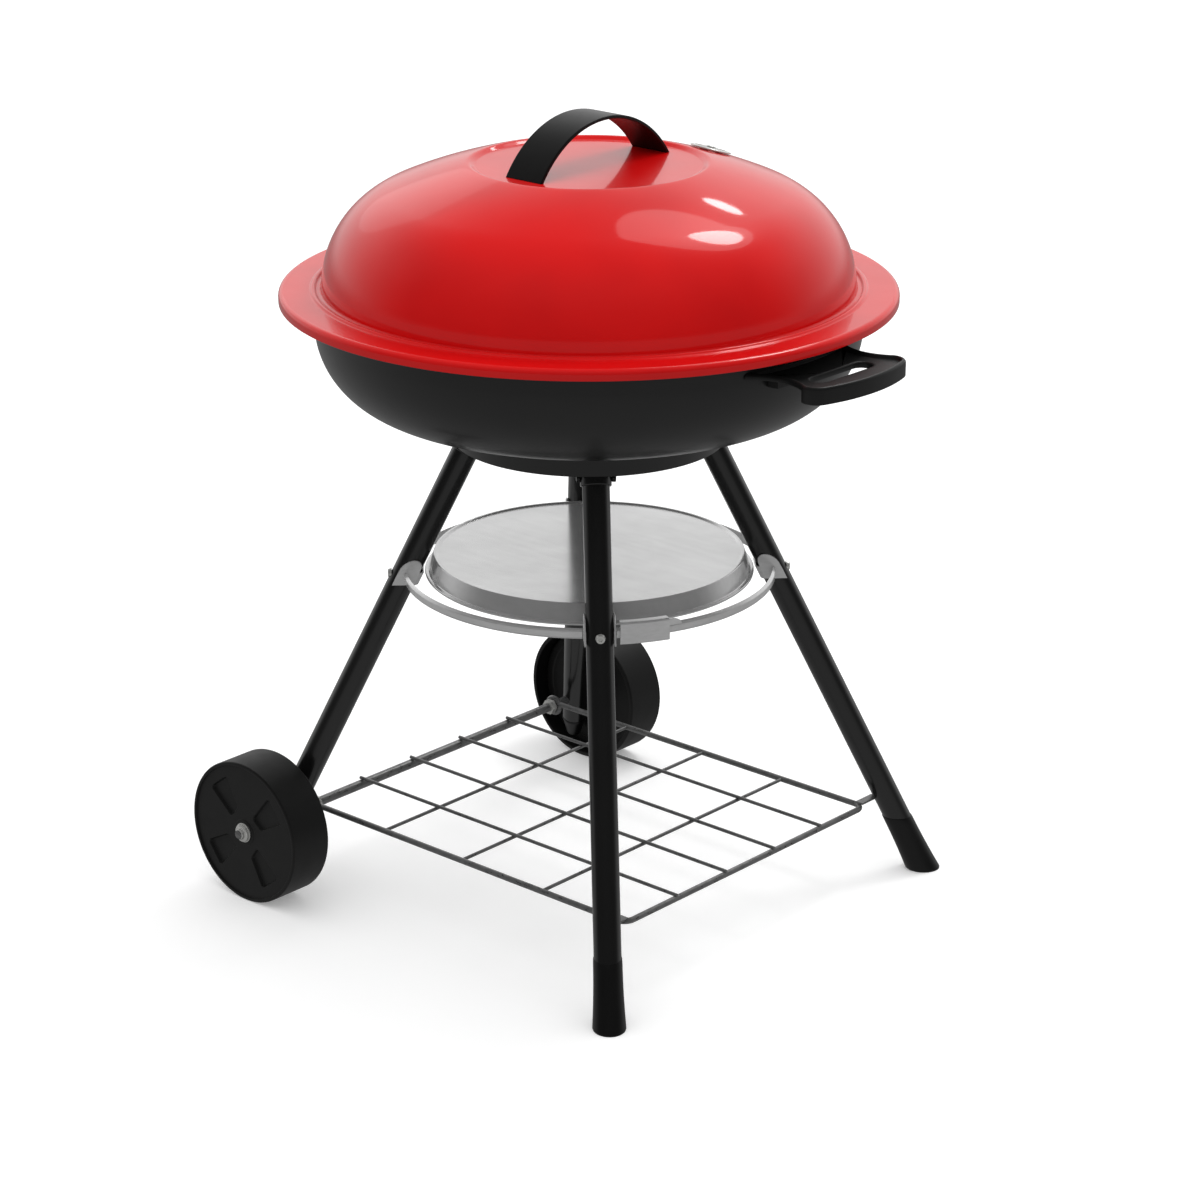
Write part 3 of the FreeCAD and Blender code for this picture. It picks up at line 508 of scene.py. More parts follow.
BRIGHT_STEEL = rolled_metal("bright_steel", linear(218, 218, 218), linear(240, 240, 240),
                            (0.14, 0.26), 1.5, (0.2, 0.2, 1))
WIRE_STEEL = rolled_metal("wire_steel", linear(92, 92, 92), linear(150, 150, 150),
                          (0.22, 0.36), 2.5, (0.3, 0.3, 1))
ZINC = rolled_metal("zinc", linear(205, 205, 200), linear(236, 236, 234), (0.16, 0.3), 1.0, (1, 1, 1))


# ---------------------------------------------------------------- kettle

def shell_arcs(radius, knuckle, depth, inward):
    """Cap radius, knuckle radius and the slope, in degrees, where the two arcs meet."""
    reach = radius - knuckle
    cap = (reach ** 2 + depth ** 2 - knuckle ** 2) / (2 * (depth - knuckle))
    slope = math.degrees(math.atan2(cap - depth, reach))
    return cap - inward, knuckle - inward, slope


def lid_side(inward, foot_angle):
    """Dome from the recess' edge down to near the brim."""
    cap, knuckle, slope = shell_arcs(LID_R, LID_KNUCKLE, LID_RISE, inward)
    crown = LID_BASE + LID_RISE - cap - inward
    edge = math.degrees(math.acos((RECESS_R + 3) / cap))
    top = arc_points((0, crown), cap, edge, slope, 18)
    side = arc_points((LID_R - LID_KNUCKLE, LID_BASE), knuckle, slope, foot_angle, 34)
    return top + side[1:], crown + cap * math.sin(math.acos(RECESS_R / cap))


def lid_outline():
    """Closed outline of the lid's sheet, in radius and height."""
    outer, rim = lid_side(0, 7)
    inner, rim_in = lid_side(SHEET, 7)
    floor_out = [((AXIS, RECESS_FLOOR), 0), ((RECESS_FLOOR_R, RECESS_FLOOR), 3.5),
                 ((RECESS_R - 1, rim), 6), (tuple(outer[0]), 0)]
    foot_out = [(tuple(outer[-1]), 0), ((LID_R + 0.2, LID_BASE - 0.4), 4),
                ((LID_R + 4, LID_BASE - 0.4), 1.5), ((LID_R + 5.4, LID_BASE + 1.9), 1.6),
                ((LID_R + 7.6, LID_BASE + 1.9), 1.6), ((LID_R + 9.2, LID_BASE), 2.5),
                ((BRIM_R, LID_BASE), 4.5),
                ((BRIM_R, LID_BASE - LIP_DROP), 0.5), ((BRIM_R - SHEET, LID_BASE - LIP_DROP), 0.5),
                ((BRIM_R - SHEET, LID_BASE - SHEET), 3.3), ((LID_R - SHEET, LID_BASE - SHEET), 3),
                (tuple(inner[-1]), 0)]
    floor_in = [(tuple(inner[0]), 0), ((RECESS_R - 1, rim_in), 4.8),
                ((RECESS_FLOOR_R, RECESS_FLOOR - SHEET), 4.7), ((AXIS, RECESS_FLOOR - SHEET), 0)]
    points = rounded(floor_out, steps=7)[:-1] + outer + rounded(foot_out, steps=6)[1:-1]
    return points + inner[::-1] + rounded(floor_in, steps=6)[1:]


def vent_place():
    """Matrix that puts the Z axis on the lid vent's outward normal."""
    cap, _, _ = shell_arcs(LID_R, LID_KNUCKLE, LID_RISE, 0)
    crown = Vector((0, 0, LID_BASE + LID_RISE - cap))
    at = polar(VENT_AT, VENT_BEARING, crown.z + math.sqrt(cap ** 2 - VENT_AT ** 2))
    return Matrix.Translation(at) @ UP.rotation_difference(at - crown).to_matrix().to_4x4()


def hole(where, radius, bearing, distance, depth=6.0):
    """A function that adds a round cutter beside the Z axis of a placing matrix."""
    def make(bm):
        at = polar(distance, bearing, -depth)
        turn(bm, [(AXIS, 0), (radius, 0), (radius, 2 * depth), (AXIS, 2 * depth)],
             where @ Matrix.Translation(at), 24)
    return make


def make_lid():
    bm = bmesh.new()
    turn(bm, lid_outline(), steps=ROUND)
    lid = piece("lid", bm, LID_ENAMEL, "lid", "lid_shell", sharp=60)
    vent = vent_place()
    bore(lid, [hole(vent, VENT_HOLE_R, 90 * i, VENT_PITCH) for i in range(4)])


def make_strap():
    rise = STRAP_TOP - RECESS_FLOOR
    radius = (STRAP_HALF_SPAN ** 2 + rise ** 2) / (2 * rise)
    middle = STRAP_TOP - radius
    foot = math.degrees(math.asin((RECESS_FLOOR - middle - 0.6) / (radius - STRAP_THICK / 2)))
    section = slab(STRAP_THICK, STRAP_WIDTH, 0.9, 4)
    path = [Vector((0, p[0], p[1])) for p in
            arc_points((0, middle), radius - STRAP_THICK / 2, foot, 180 - foot, 64)]
    bm = bmesh.new()
    sweep(bm, path, section, up=Vector((1, 0, 0)))
    piece("lid_strap_handle", bm, STRAP_PAINT, "lid", "lid_handle", sharp=50)
    bm = bmesh.new()
    for side in (1, -1):
        at = Vector((0, side * (STRAP_HALF_SPAN - STRAP_THICK / 2), RECESS_FLOOR - SHEET - 2.2))
        turn(bm, rounded([((6, 0), 0), ((8.2, 0), 0.8), ((9, 1.8), 0.6), ((6, 1.8), 0)]),
             Matrix.Translation(at), FINE, True)
        sweep(bm, [at + Vector((0, 0, -6)), at + Vector((0, 0, 3))], slab(12, 3, 0.6), up=Vector((1, 0, 0)))
    piece("strap_push_nuts", bm, ZINC, "lid", "handle_push_nuts")


def make_lid_damper():
    vent = vent_place()
    bm = bmesh.new()
    edge = rounded([((AXIS, 0.6), 0), ((LID_DAMPER_R, 0.6), 0.35), ((LID_DAMPER_R, 1.7), 0.5),
                    ((14.5, 1.7), 1.0), ((13.6, 2.2), 0.8), ((AXIS, 2.2), 0)], steps=4)
    turn(bm, edge, vent, 96)
    disc = piece("lid_damper_disc", bm, ZINC, "lid_damper", "lid_damper")
    bore(disc, [hole(vent, VENT_HOLE_R, 45 + 90 * i, VENT_PITCH) for i in range(4)])
    bm = bmesh.new()
    turn(bm, rounded([((AXIS, -3.4), 0), ((3.6, -3.4), 1), ((3.6, -1.3), 0.3), ((2.4, -1.3), 0),
                      ((2.4, 2.3), 0), ((4.4, 2.3), 0.3), ((3.6, 3.3), 0.8), ((AXIS, 3.4), 0)]), vent, 32)
    piece("lid_damper_rivet", bm, ZINC, "lid")


def bowl_side(inward):
    depth = BOWL_SHOULDER - BOWL_BOTTOM
    cap, knuckle, slope = shell_arcs(BOWL_R, BOWL_KNUCKLE, depth, inward)
    crown = BOWL_BOTTOM + cap + inward
    low = arc_points((0, crown), cap, -89.9, -slope, 20)
    side = arc_points((BOWL_R - BOWL_KNUCKLE, BOWL_SHOULDER), knuckle, -slope, 0, 26)
    return low + side[1:]


def make_bowl():
    rim = [((BOWL_R, BOWL_SHOULDER), 0), ((BOWL_R, RIM_TOP - SHEET), 2.5),
           ((RIM_R - SHEET, RIM_TOP - SHEET), 1), ((RIM_R - SHEET, RIM_TOP - RIM_DROP), 0.5),
           ((RIM_R, RIM_TOP - RIM_DROP), 0.5), ((RIM_R, RIM_TOP), 2.2),
           ((BOWL_R - SHEET, RIM_TOP), 3.7), ((BOWL_R - SHEET, BOWL_SHOULDER), 0)]
    outline = bowl_side(0) + rounded(rim, steps=5)[1:-1] + bowl_side(SHEET)[::-1]
    bm = bmesh.new()
    turn(bm, outline, steps=ROUND)
    bowl = piece("bowl", bm, BOWL_ENAMEL, "frame", sharp=60)
    bottom = Matrix.Translation((0, 0, BOWL_BOTTOM))
    bore(bowl, [hole(bottom, BOTTOM_HOLE_R, 90 * i, BOTTOM_HOLE_AT) for i in range(4)])


def make_bottom_damper():
    bm = bmesh.new()
    low = DAMPER_TOP - DAMPER_THICK
    turn(bm, rounded([((AXIS, low), 0), ((DAMPER_R, low), 0.5), ((DAMPER_R, DAMPER_TOP), 0.5),
                      ((AXIS, DAMPER_TOP), 0)]), steps=96)
    plate = piece("bottom_damper", bm, BRIGHT_STEEL, "bowl_damper", "bowl_damper")
    middle = Matrix.Translation((0, 0, DAMPER_TOP))
    bore(plate, [hole(middle, BOTTOM_HOLE_R, 45 + 90 * i, BOTTOM_HOLE_AT) for i in range(4)])
    bm = bmesh.new()
    mid = DAMPER_TOP - DAMPER_THICK / 2
    path = rounded([((36, 0, mid), 0), ((73.2, 0, mid), 2.5), ((73.2, 0, low - 17), 0)], steps=5)
    sweep(bm, path, slab(DAMPER_THICK, 12, 0.4), up=Vector((0, 1, 0)))
    piece("bottom_damper_lever", bm, BRIGHT_STEEL, "bowl_damper", "bowl_damper")
    bm = bmesh.new()
    rivet = [((AXIS, low - 2.3), 0), ((4.8, low - 2.3), 1), ((6, low - 0.4), 0.3), ((3, low - 0.4), 0),
             ((3, BOWL_BOTTOM + 1.3), 0), ((6, BOWL_BOTTOM + 1.3), 0.3),
             ((5, BOWL_BOTTOM + 3), 0.8), ((AXIS, BOWL_BOTTOM + 3.1), 0)]
    turn(bm, rounded(rivet), steps=32)
    piece("bottom_damper_rivet", bm, ZINC, "frame", "damper_rivet")


# ---------------------------------------------------------------- bowl handles

def arc_through(a, b, c, steps):
    """2-D points on the circle through three points, from the first to the last."""
    ax, ay, bx, by, cx, cy = *a, *b, *c
    aa, bb, cc = ax * ax + ay * ay, bx * bx + by * by, cx * cx + cy * cy
    double_area = 2 * (ax * (by - cy) + bx * (cy - ay) + cx * (ay - by))
    ux = (aa * (by - cy) + bb * (cy - ay) + cc * (ay - by)) / double_area
    uy = (aa * (cx - bx) + bb * (ax - cx) + cc * (bx - ax)) / double_area
    first, through, last = [math.degrees(math.atan2(p[1] - uy, p[0] - ux)) for p in (a, b, c)]
    span = (last - first) % 360
    if (through - first) % 360 > span:
        span -= 360
    return arc_points((ux, uy), math.hypot(ax - ux, ay - uy), first, first + span, steps)


def handle_outline():
    """Waisted outline with a bowed end of the +X handle in plan, as a closed loop."""
    waist = arc_through(HANDLE_BASE, HANDLE_WAIST, HANDLE_GRIP, 24)
    half = waist[:-1] + [waist[-1].lerp(waist[-2], 0.15)]
    half += arc_through(HANDLE_GRIP, HANDLE_CORNER, HANDLE_TIP, 14)[:-1]
    end = arc_through(HANDLE_TIP, (HANDLE_HIGH.x, 0), (HANDLE_TIP[0], -HANDLE_TIP[1]), 24)
    half += end[:len(end) // 2 + 1]
    far = [Vector((p.x, -p.y)) for p in half[-2::-1]]
    back = [Vector((HANDLE_BASE[0], y)) for y in range(58, -59, -4)]
    return half + far + back


def inset(points, distance):
    """Move a counter-clockwise loop inward, keeping it clear of the bowl's wall."""
    result = []
    count = len(points)
    for i, here in enumerate(points):
        before = (here - points[i - 1]).normalized()
        after = (points[(i + 1) % count] - here).normalized()
        way = (before + after).normalized()
        moved = here + Vector((-way.y, way.x)) * (distance / max(0.5, way.dot(before)))
        least = BOWL_R + 0.1 + 0.25 * max(0.0, distance)
        if moved.length < least:
            moved = Vector((math.sqrt(max(least ** 2 - moved.y ** 2, 0)), moved.y))
        result.append(moved)
    return result


def slot_loop(outline, grow):
    """Stadium-shaped loop whose points lie towards the outline's points."""
    straight = SLOT_HALF - SLOT_R
    radius = SLOT_R + grow
    result = []
    for point in outline:
        way = (point - Vector((SLOT_X, 0))).normalized()
        near, far = 0.0, 100.0
        for _ in range(40):
            reach = (near + far) / 2
            x, y = way * reach
            outside = math.hypot(x, max(abs(y) - straight, 0)) > radius
            near, far = (near, reach) if outside else (reach, far)
        result.append(Vector((SLOT_X, 0)) + way * near)
    return result


def make_bowl_handle(side):
    """Deck with a raised edge; a deep skirt hangs from its outer end only."""
    outline = handle_outline()
    in_skirt = [p.x > HANDLE_SKIRT_AT - 0.1 for p in outline]
    low, high = HANDLE_LOW.z, HANDLE_HIGH.z
    thin, deck = high - HANDLE_EDGE, HANDLE_DECK
    edge = [(3.0, low + 1.2, thin), (2.4, low, thin), (1.2, low, thin), (0.35, low + 0.4, thin + 0.35),
            (0, low + 1.2, thin + 1.1), (0, (low + high) / 2, thin + 1.8)]
    edge += [(inward, z, z) for inward, z in
             ((0, high - 2.4), (0.3, high - 1.3), (1.1, high - 0.35), (2.0, high), (2.7, high - 0.1),
              (3.4, high - 0.6), (3.9, high - 1.5), (4.2, deck + 0.5), (5.0, deck))]
    slot = [(3.0, deck), (1.6, deck), (0.5, deck - 0.4), (0, deck - 1.4), (0, deck - 4), (0.4, deck - 5),
            (1.6, deck - 5), (2.0, deck - 4), (2.0, deck - 3)]
    loops = []
    for inward, skirt_z, waist_z in edge:
        flat = inset(outline, inward)
        loops.append([(p, skirt_z if deep else waist_z) for p, deep in zip(flat, in_skirt)])
    loops += [[(p, z) for p in slot_loop(outline, grow)] for grow, z in slot]
    under = zip(inset(outline, 3.4), in_skirt)
    loops.append([(p, deck - 3 if deep else thin) for p, deep in under])
    bm = bmesh.new()
    loft(bm, [[Vector((side * p.x, side * p.y, z)) for p, z in loop] for loop in loops], wrap=True)
    root = [Vector((math.sqrt((BOWL_R + 0.3) ** 2 - y * y), y)) for y in
            [HANDLE_ROOT_HALF * k / 12 for k in range(-12, 13)]]
    root += [Vector((BOWL_R + 6, y)) for y in range(int(HANDLE_ROOT_HALF) - 1, -int(HANDLE_ROOT_HALF), -3)]
    loft(bm, [[Vector((side * p.x, side * p.y, z)) for p in root] for z in (low, thin + 0.5)])
    name = "bowl_handle_" + ("foot_side" if side > 0 else "wheel_side")
    piece(name, bm, HANDLE_PLASTIC, "frame", sharp=45)


def make_handle_screws():
    bm = bmesh.new()
    for side in (1, -1):
        for y in (-HANDLE_SCREW_Y, HANDLE_SCREW_Y):
            wall = math.sqrt((BOWL_R - SHEET) ** 2 - y ** 2)
            way = Vector((-side, 0, 0))
            screw_head(bm, Vector((side * wall, y, HANDLE_SCREW_Z)), way, 4.0, 2.4)
    piece("handle_screws", bm, ZINC, "frame")


def screw_head(bm, at, way, radius, height):
    """Domed head with a hexagonal socket, facing along way, over a short shank."""
    where = place(at, way)
    dome = rounded([((2.0, -2.0), 0), ((2.0, 0), 0), ((radius, 0), 0.3),
                    ((radius * 0.8, height), radius * 0.35), ((2.3, height), 0)], steps=5)
    loops = [[where @ p for p in ring(r, z, 36)] for r, z in dome]
    hexagon = [Vector((p.x, p.y, 0)) for p in
               rounded([(tuple(polar(1.9, 60 * i).xy), 0.2) for i in range(6)], True, 5)]
    for z in (height - 0.1, height - 1.4):
        loops.append([where @ (p + Vector((0, 0, z))) for p in hexagon])
    loft(bm, loops)


def hex_nut(bm, at, way, radius, height, bore_r=0.0):
    """Hexagonal nut or bolt head with chamfered corners, seated at a point."""
    where = place(at, way)
    def outline(grow, z):
        corners = [(tuple(polar(radius + grow, 60 * i).xy), 0.3) for i in range(6)]
        return [where @ Vector((p.x, p.y, z)) for p in rounded(corners, True, 5)]
    loops = [outline(-0.5, 0), outline(0, 0.5), outline(0, height - 0.5), outline(-0.6, height)]
    if bore_r:
        loops += [[where @ p for p in ring(bore_r, z, 36)] for z in (height, 0)]
    loft(bm, loops, wrap=bool(bore_r))


# ---------------------------------------------------------------- legs

def on_bowl(start, way):
    """Where a line from start meets the bowl's outer face."""
    depth = BOWL_SHOULDER - BOWL_BOTTOM
    cap, _, _ = shell_arcs(BOWL_R, BOWL_KNUCKLE, depth, 0)
    offset = start - Vector((0, 0, BOWL_BOTTOM + cap))
    half = offset.dot(way)
    return start + way * (-half - math.sqrt(half ** 2 - offset.length_squared + (cap - 0.3) ** 2))


def make_socket(name):
    bearing = BEARINGS[name]
    way = leg_way(bearing)
    where = place(leg_point(bearing, SOCKET_BOTTOM), way)
    loops = []
    for radius, height in ((TUBE_R + 0.1, 0.6), (TUBE_R + 0.4, 0), (SOCKET_R - 0.5, 0),
                           (SOCKET_R, 0.6), (SOCKET_R, 4)):
        loops.append([where @ p for p in ring(radius, height, FINE)])
    outer = [where @ p for p in ring(SOCKET_R, 0, FINE)]
    inner = [where @ p for p in ring(TUBE_R + 0.1, 0, FINE)]
    loops.append([on_bowl(p, way) for p in outer])
    loops.append([on_bowl(p, way) for p in inner])
    bm = bmesh.new()
    loft(bm, loops, wrap=True)
    piece("socket_" + name, bm, LEG_ENAMEL, "frame")


def make_leg(name):
    bearing = BEARINGS[name]
    low = FOOT_LEG_END if name in ("foot_near", "foot_far") else WHEEL_LEG_END
    bm = bmesh.new()
    rod(bm, leg_point(bearing, low), leg_point(bearing, LEG_TOP), TUBE_R, 64, 0.8)
    piece("leg_" + name, bm, LEG_ENAMEL, "frame")


def make_foot_cap(name):
    """Flared foot: level rings round the leg's axis, flat where it stands."""
    bearing = BEARINGS[name]
    lean = math.hypot(1, LEG_SLOPE)
    bm = bmesh.new()
    loops = []
    levels = [(0, -1.2), (0.25, -0.5), (1.2, 0)] + [(2 + 2.4 * k, 0) for k in range(19)]
    levels += [(CAP_TOP - 0.8, -0.1), (CAP_TOP, -0.45)]
    for z, change in levels:
        flare = (1 - z / CAP_TOP) ** 2.2
        radius = CAP_TOP_R + (CAP_FOOT_R - CAP_TOP_R) * flare + change
        centre = leg_point(bearing, z)
        out, side = polar(1, bearing), polar(1, bearing + 90)
        loops.append([centre + out * p.x * lean + side * p.y for p in ring(radius, 0, 64)])
    loft(bm, loops)
    piece("foot_cap_" + name, bm, FOOT_PLASTIC, "frame", "cap_" + name)


def make_plug(name):
    bearing = BEARINGS[name]
    end, tip = leg_point(bearing, WHEEL_LEG_END), leg_point(bearing, PLUG_TIP)
    length = (end - tip).length
    bm = bmesh.new()
    profile = [((AXIS, 0), 0), ((6.5, 0), 1.2), ((TUBE_R, length - 2), 2), ((TUBE_R, length - 0.1), 0.3),
               ((9.6, length - 0.1), 0), ((9.6, length + 3), 0), ((AXIS, length + 3), 0)]
    turn(bm, rounded(profile), place(tip, end - tip))
    piece("plug_" + name, bm, FOOT_PLASTIC, "frame")


def make_leg_ring():
    """Skirt that flares from its lower edge out to the bowl's bottom."""
    top = BOWL_BOTTOM + 12.4
    profile = rounded([((RING_TOP_R - 1.9, top - 0.3), 0), ((RING_R - 2, RING_BOTTOM), 0.8),
                       ((RING_R + 0.2, RING_BOTTOM), 1.1), ((RING_TOP_R + 0.1, top), 0)], steps=4)
    bm = bmesh.new()
    turn(bm, profile, steps=ROUND, wrap=True)
    piece("leg_ring", bm, BOWL_ENAMEL, "frame")


def make_bolts():
    bm = bmesh.new()
    for bearing in BEARINGS.values():
        at = leg_point(bearing, SOCKET_BOTTOM + BOLT_UP)
        across = polar(1, bearing + 90)
        hex_nut(bm, at + across * SOCKET_R, across, 4.6, 3.5)
        hex_nut(bm, at - across * SOCKET_R, -across, 4.6, 3.0)
    piece("socket_bolts", bm, LEG_ENAMEL, "frame")


# ---------------------------------------------------------------- wheels, axle and rack

def axle_point(y):
    return Vector((AXLE_X, y, WHEEL_R))


def flat_polygon(corners, move, radius):
    """Polygon with its sides moved inward and its corners rounded, with a fixed point count."""
    count = len(corners)
    sides = []
    for i in range(count):
        a, b = Vector(corners[i]), Vector(corners[(i + 1) % count])
        way = (b - a).normalized()
        sides.append((a + Vector((-way.y, way.x)) * move, way))
    moved = []
    for i in range(count):
        (a, u), (b, v) = sides[i - 1], sides[i]
        t = (b - a).cross(v) / u.cross(v)
        moved.append((tuple(a + u * t), radius))
    return rounded(moved, True, 5)


def pocket_loops(index, face):
    """Loops of one pinwheel pocket, from the wheel's face down to its floor."""
    steps = [(-0.5, 0), (-0.1, -0.12), (0.2, -0.45), (0.9, -1.9), (1.3, -2.3), (2.2, -POCKET_DEPTH)]
    corners = POCKET if area(POCKET) > 0 else POCKET[::-1]
    spin = Matrix.Rotation(math.radians(90 * index), 2)
    loops = []
    for move, drop in steps:
        flat = flat_polygon(corners, move, max(0.8, 3.2 - move))
        loops.append([Vector((*(spin @ p), face + drop)) for p in flat])
    return loops


def area(points):
    return sum(a[0] * b[1] - b[0] * a[1] for a, b in zip(points, points[1:] + points[:1])) / 2


def wheel_mesh():
    """Wheel about the Z axis, its outer face up, with heights measured from the bowl's axis."""
    face = WHEEL_OUTER - FACE_RECESS
    lip = WHEEL_R - TREAD_THICK
    bm = bmesh.new()
    hub = WHEEL_OUTER - 1
    outside = rounded([((lip - 0.6, face), 0), ((lip + 0.5, face), 0.4), ((lip + 0.9, WHEEL_OUTER), 0.7),
                       ((WHEEL_R, WHEEL_OUTER), 1.9), ((WHEEL_R, WHEEL_INNER), 1.6),
                       ((lip, WHEEL_INNER), 0.8), ((lip, BACK_FACE + 6), 1.5),
                       ((AXLE_R, BACK_FACE + 6), 0), ((AXLE_R, hub), 0), ((HUB_R, hub), 0.6),
                       ((HUB_R + 0.6, face), 0.5), ((HUB_R + 1.4, face), 0)], steps=5)
    loops = [ring(r, z, WHEEL_STEPS) for r, z in outside]
    loft(bm, loops, cap=False)
    bm.verts.ensure_lookup_table()
    border = list(bm.verts[:WHEEL_STEPS]) + list(bm.verts[-WHEEL_STEPS:])
    for index in range(4):
        before = len(bm.verts)
        pocket = pocket_loops(index, face)
        loft(bm, pocket, cap=False)
        bm.verts.ensure_lookup_table()
        count = len(pocket[0])
        border += list(bm.verts[before:before + count])
        bm.faces.new(bm.verts[len(bm.verts) - count:])
    inside = set(border)
    edges = [e for e in bm.edges if e.is_boundary and e.verts[0] in inside and e.verts[1] in inside]
    bmesh.ops.triangle_fill(bm, use_beauty=True, edges=edges, normal=UP)
    return bm


def make_wheel(name, side):
    bm = wheel_mesh()
    for vert in bm.verts:
        u, v, w = vert.co
        vert.co = (AXLE_X + u, side * w, WHEEL_R + v)
    piece("wheel_" + name, bm, WHEEL_PLASTIC, "wheel_" + name, sharp=32)
    bm = bmesh.new()
    lip = WHEEL_R - TREAD_THICK - 0.2
    profile = rounded([((AXLE_R, -1), 0), ((HUB_R, -1), 0.8), ((HUB_R + 1.5, 0.6), 1),
                       ((lip - 9, 0.6), 1), ((lip - 8, 0), 0.5), ((lip - 2, 0), 0.8),
                       ((lip, 1.5), 0.6), ((lip, 2.5), 0), ((AXLE_R, 2.5), 0)])
    where = place(axle_point(side * BACK_FACE), Vector((0, side, 0)))
    turn(bm, profile, where, WHEEL_STEPS, True)
    plate = "wheel_back_" + name
    piece(plate, bm, WHEEL_PLASTIC, "wheel_" + name)


def make_axle():
    bm = bmesh.new()
    reach = WHEEL_OUTER + 6
    rod(bm, axle_point(-reach), axle_point(reach), AXLE_R, FINE, 0.8)
    piece("axle", bm, WIRE_STEEL, "frame")
    washers, domes, nuts = bmesh.new(), bmesh.new(), bmesh.new()
    for side in (1, -1):
        way = Vector((0, side, 0))
        turn(washers, rounded([((AXLE_R, 0), 0), ((8.5, 0), 0.3), ((8.5, 1.2), 0.3), ((AXLE_R, 1.2), 0)]),
             place(axle_point(side * (WHEEL_OUTER - 0.9)), way), FINE, True)
        dome = [((AXIS, 0), 0), ((7.5, 0), 0.4), ((7.5, 1.6), 0.6), ((6.2, 2.2), 0.8), ((5.0, 2.3), 0.6),
                ((4.6, 4.6), 1.6), ((3.0, 5.4), 0.8), ((2.4, 4.9), 0.4), ((AXIS, 4.9), 0)]
        turn(domes, rounded(dome, steps=6), place(axle_point(side * (WHEEL_OUTER + 0.4)), way), FINE)
        eye = RACK_HALF_WIDTH - RAIL_R - 0.3
        hex_nut(nuts, axle_point(side * eye), -way, 7.0, 6.0, AXLE_R)
    piece("axle_washers", washers, ZINC, "frame")
    piece("axle_dome_nuts", domes, ZINC, "frame", "axle_cap_nuts", sharp=50)
    piece("axle_hex_nuts", nuts, ZINC, "frame", "axle_nuts")


def make_rack():
    z, w = RAIL_Z, RACK_HALF_WIDTH
    back = AXLE_X + EYE_R
    path = rounded([((back, -w, z), 0), ((RACK_FRONT, -w, z), 10),
                    ((RACK_FRONT, w, z), 10), ((back, w, z), 0)], steps=10)
    bm = bmesh.new()
    sweep(bm, path, circle(RAIL_R, 20))
    for side in (1, -1):
        turns = [2 * math.pi * k / 40 for k in range(40)]
        eye = [axle_point(side * w) + Vector((EYE_R * math.cos(t), 0, EYE_R * math.sin(t))) for t in turns]
        sweep(bm, eye, circle(RAIL_R * 0.95, 16), wrap=True)
    piece("rack_rail", bm, WIRE_STEEL, "frame")
    bm = bmesh.new()
    for i in range(LONG_WIRES):
        y = -w + 2 * w / (LONG_WIRES + 1) * (i + 1)
        ends = [Vector((x, y, LONG_WIRE_Z)) for x in (AXLE_X - 2, RACK_FRONT + 1.5)]
        rod(bm, *ends, WIRE_R, 16, 0.5)
    for i in range(CROSS_WIRES):
        x = AXLE_X + (RACK_FRONT - AXLE_X) / (CROSS_WIRES + 1) * (i + 1)
        ends = [Vector((x, y, LONG_WIRE_Z - 2 * WIRE_R)) for y in (1 - w, w - 1)]
        rod(bm, *ends, WIRE_R, 16, 0.5)
    piece("rack_wires", bm, WIRE_STEEL, "frame")
    bm = bmesh.new()
    for side in (1, -1):
        start = Vector((RACK_FRONT - 3, side * (w - 3), z + 3.4))
        end = start + Vector((0, side * 21, 0))
        sweep(bm, [start.lerp(end, k / 4) for k in range(5)], slab(8, 1.6, 0.5), up=UP)
    piece("rack_brackets", bm, WIRE_STEEL, "frame")


# ---------------------------------------------------------------- ash tray and hoop

def make_tray():
    top, bottom = TRAY_TOP, TRAY_RIM
    outline = rounded([((AXIS, top - 1), 0), ((TRAY_DISC_R - 1.6, top - 1), 1.2),
                       ((TRAY_RIM_R - 4.2, bottom + 0.2), 1), ((TRAY_RIM_R - 1, bottom), 0.8),
                       ((TRAY_RIM_R, bottom + 0.8), 0.8), ((TRAY_RIM_R, bottom + 2.4), 0.8),
                       ((TRAY_RIM_R - 3.2, bottom + 2.5), 1), ((TRAY_DISC_R, top + 1.5), 0.8),
                       ((TRAY_DISC_R - 2, top + 1.5), 0.8), ((TRAY_DISC_R - 4, top + 0.1), 1.5),
                       ((AXIS, top + 0.1), 0)], steps=5)
    bm = bmesh.new()
    turn(bm, outline, steps=ROUND)
    piece("ash_tray", bm, TRAY_STEEL, "ash_tray", sharp=50)


def make_hoop():
    top = HOOP_BOTTOM + HOOP_HEIGHT
    inner = HOOP_R - 1.5
    belly = arc_points((HOOP_R - 2.3, HOOP_MIDDLE), HOOP_HEIGHT / 2, -58, 58, 14)
    profile = [Vector((inner, top - 0.5)), Vector((inner, HOOP_BOTTOM + 0.5)),
               Vector((inner + 0.5, HOOP_BOTTOM))]
    profile += [Vector((min(p.x, HOOP_R + 1.5), p.y)) for p in belly] + [Vector((inner + 0.5, top))]
    for name, bearing in HOOP_ENDS.items():
        bm = bmesh.new()
        band_arc(bm, profile, bearing + HOOP_GAP, bearing + 90 - HOOP_GAP, 72)
        piece("hoop_" + name, bm, BRIGHT_STEEL, "frame", sharp=45)


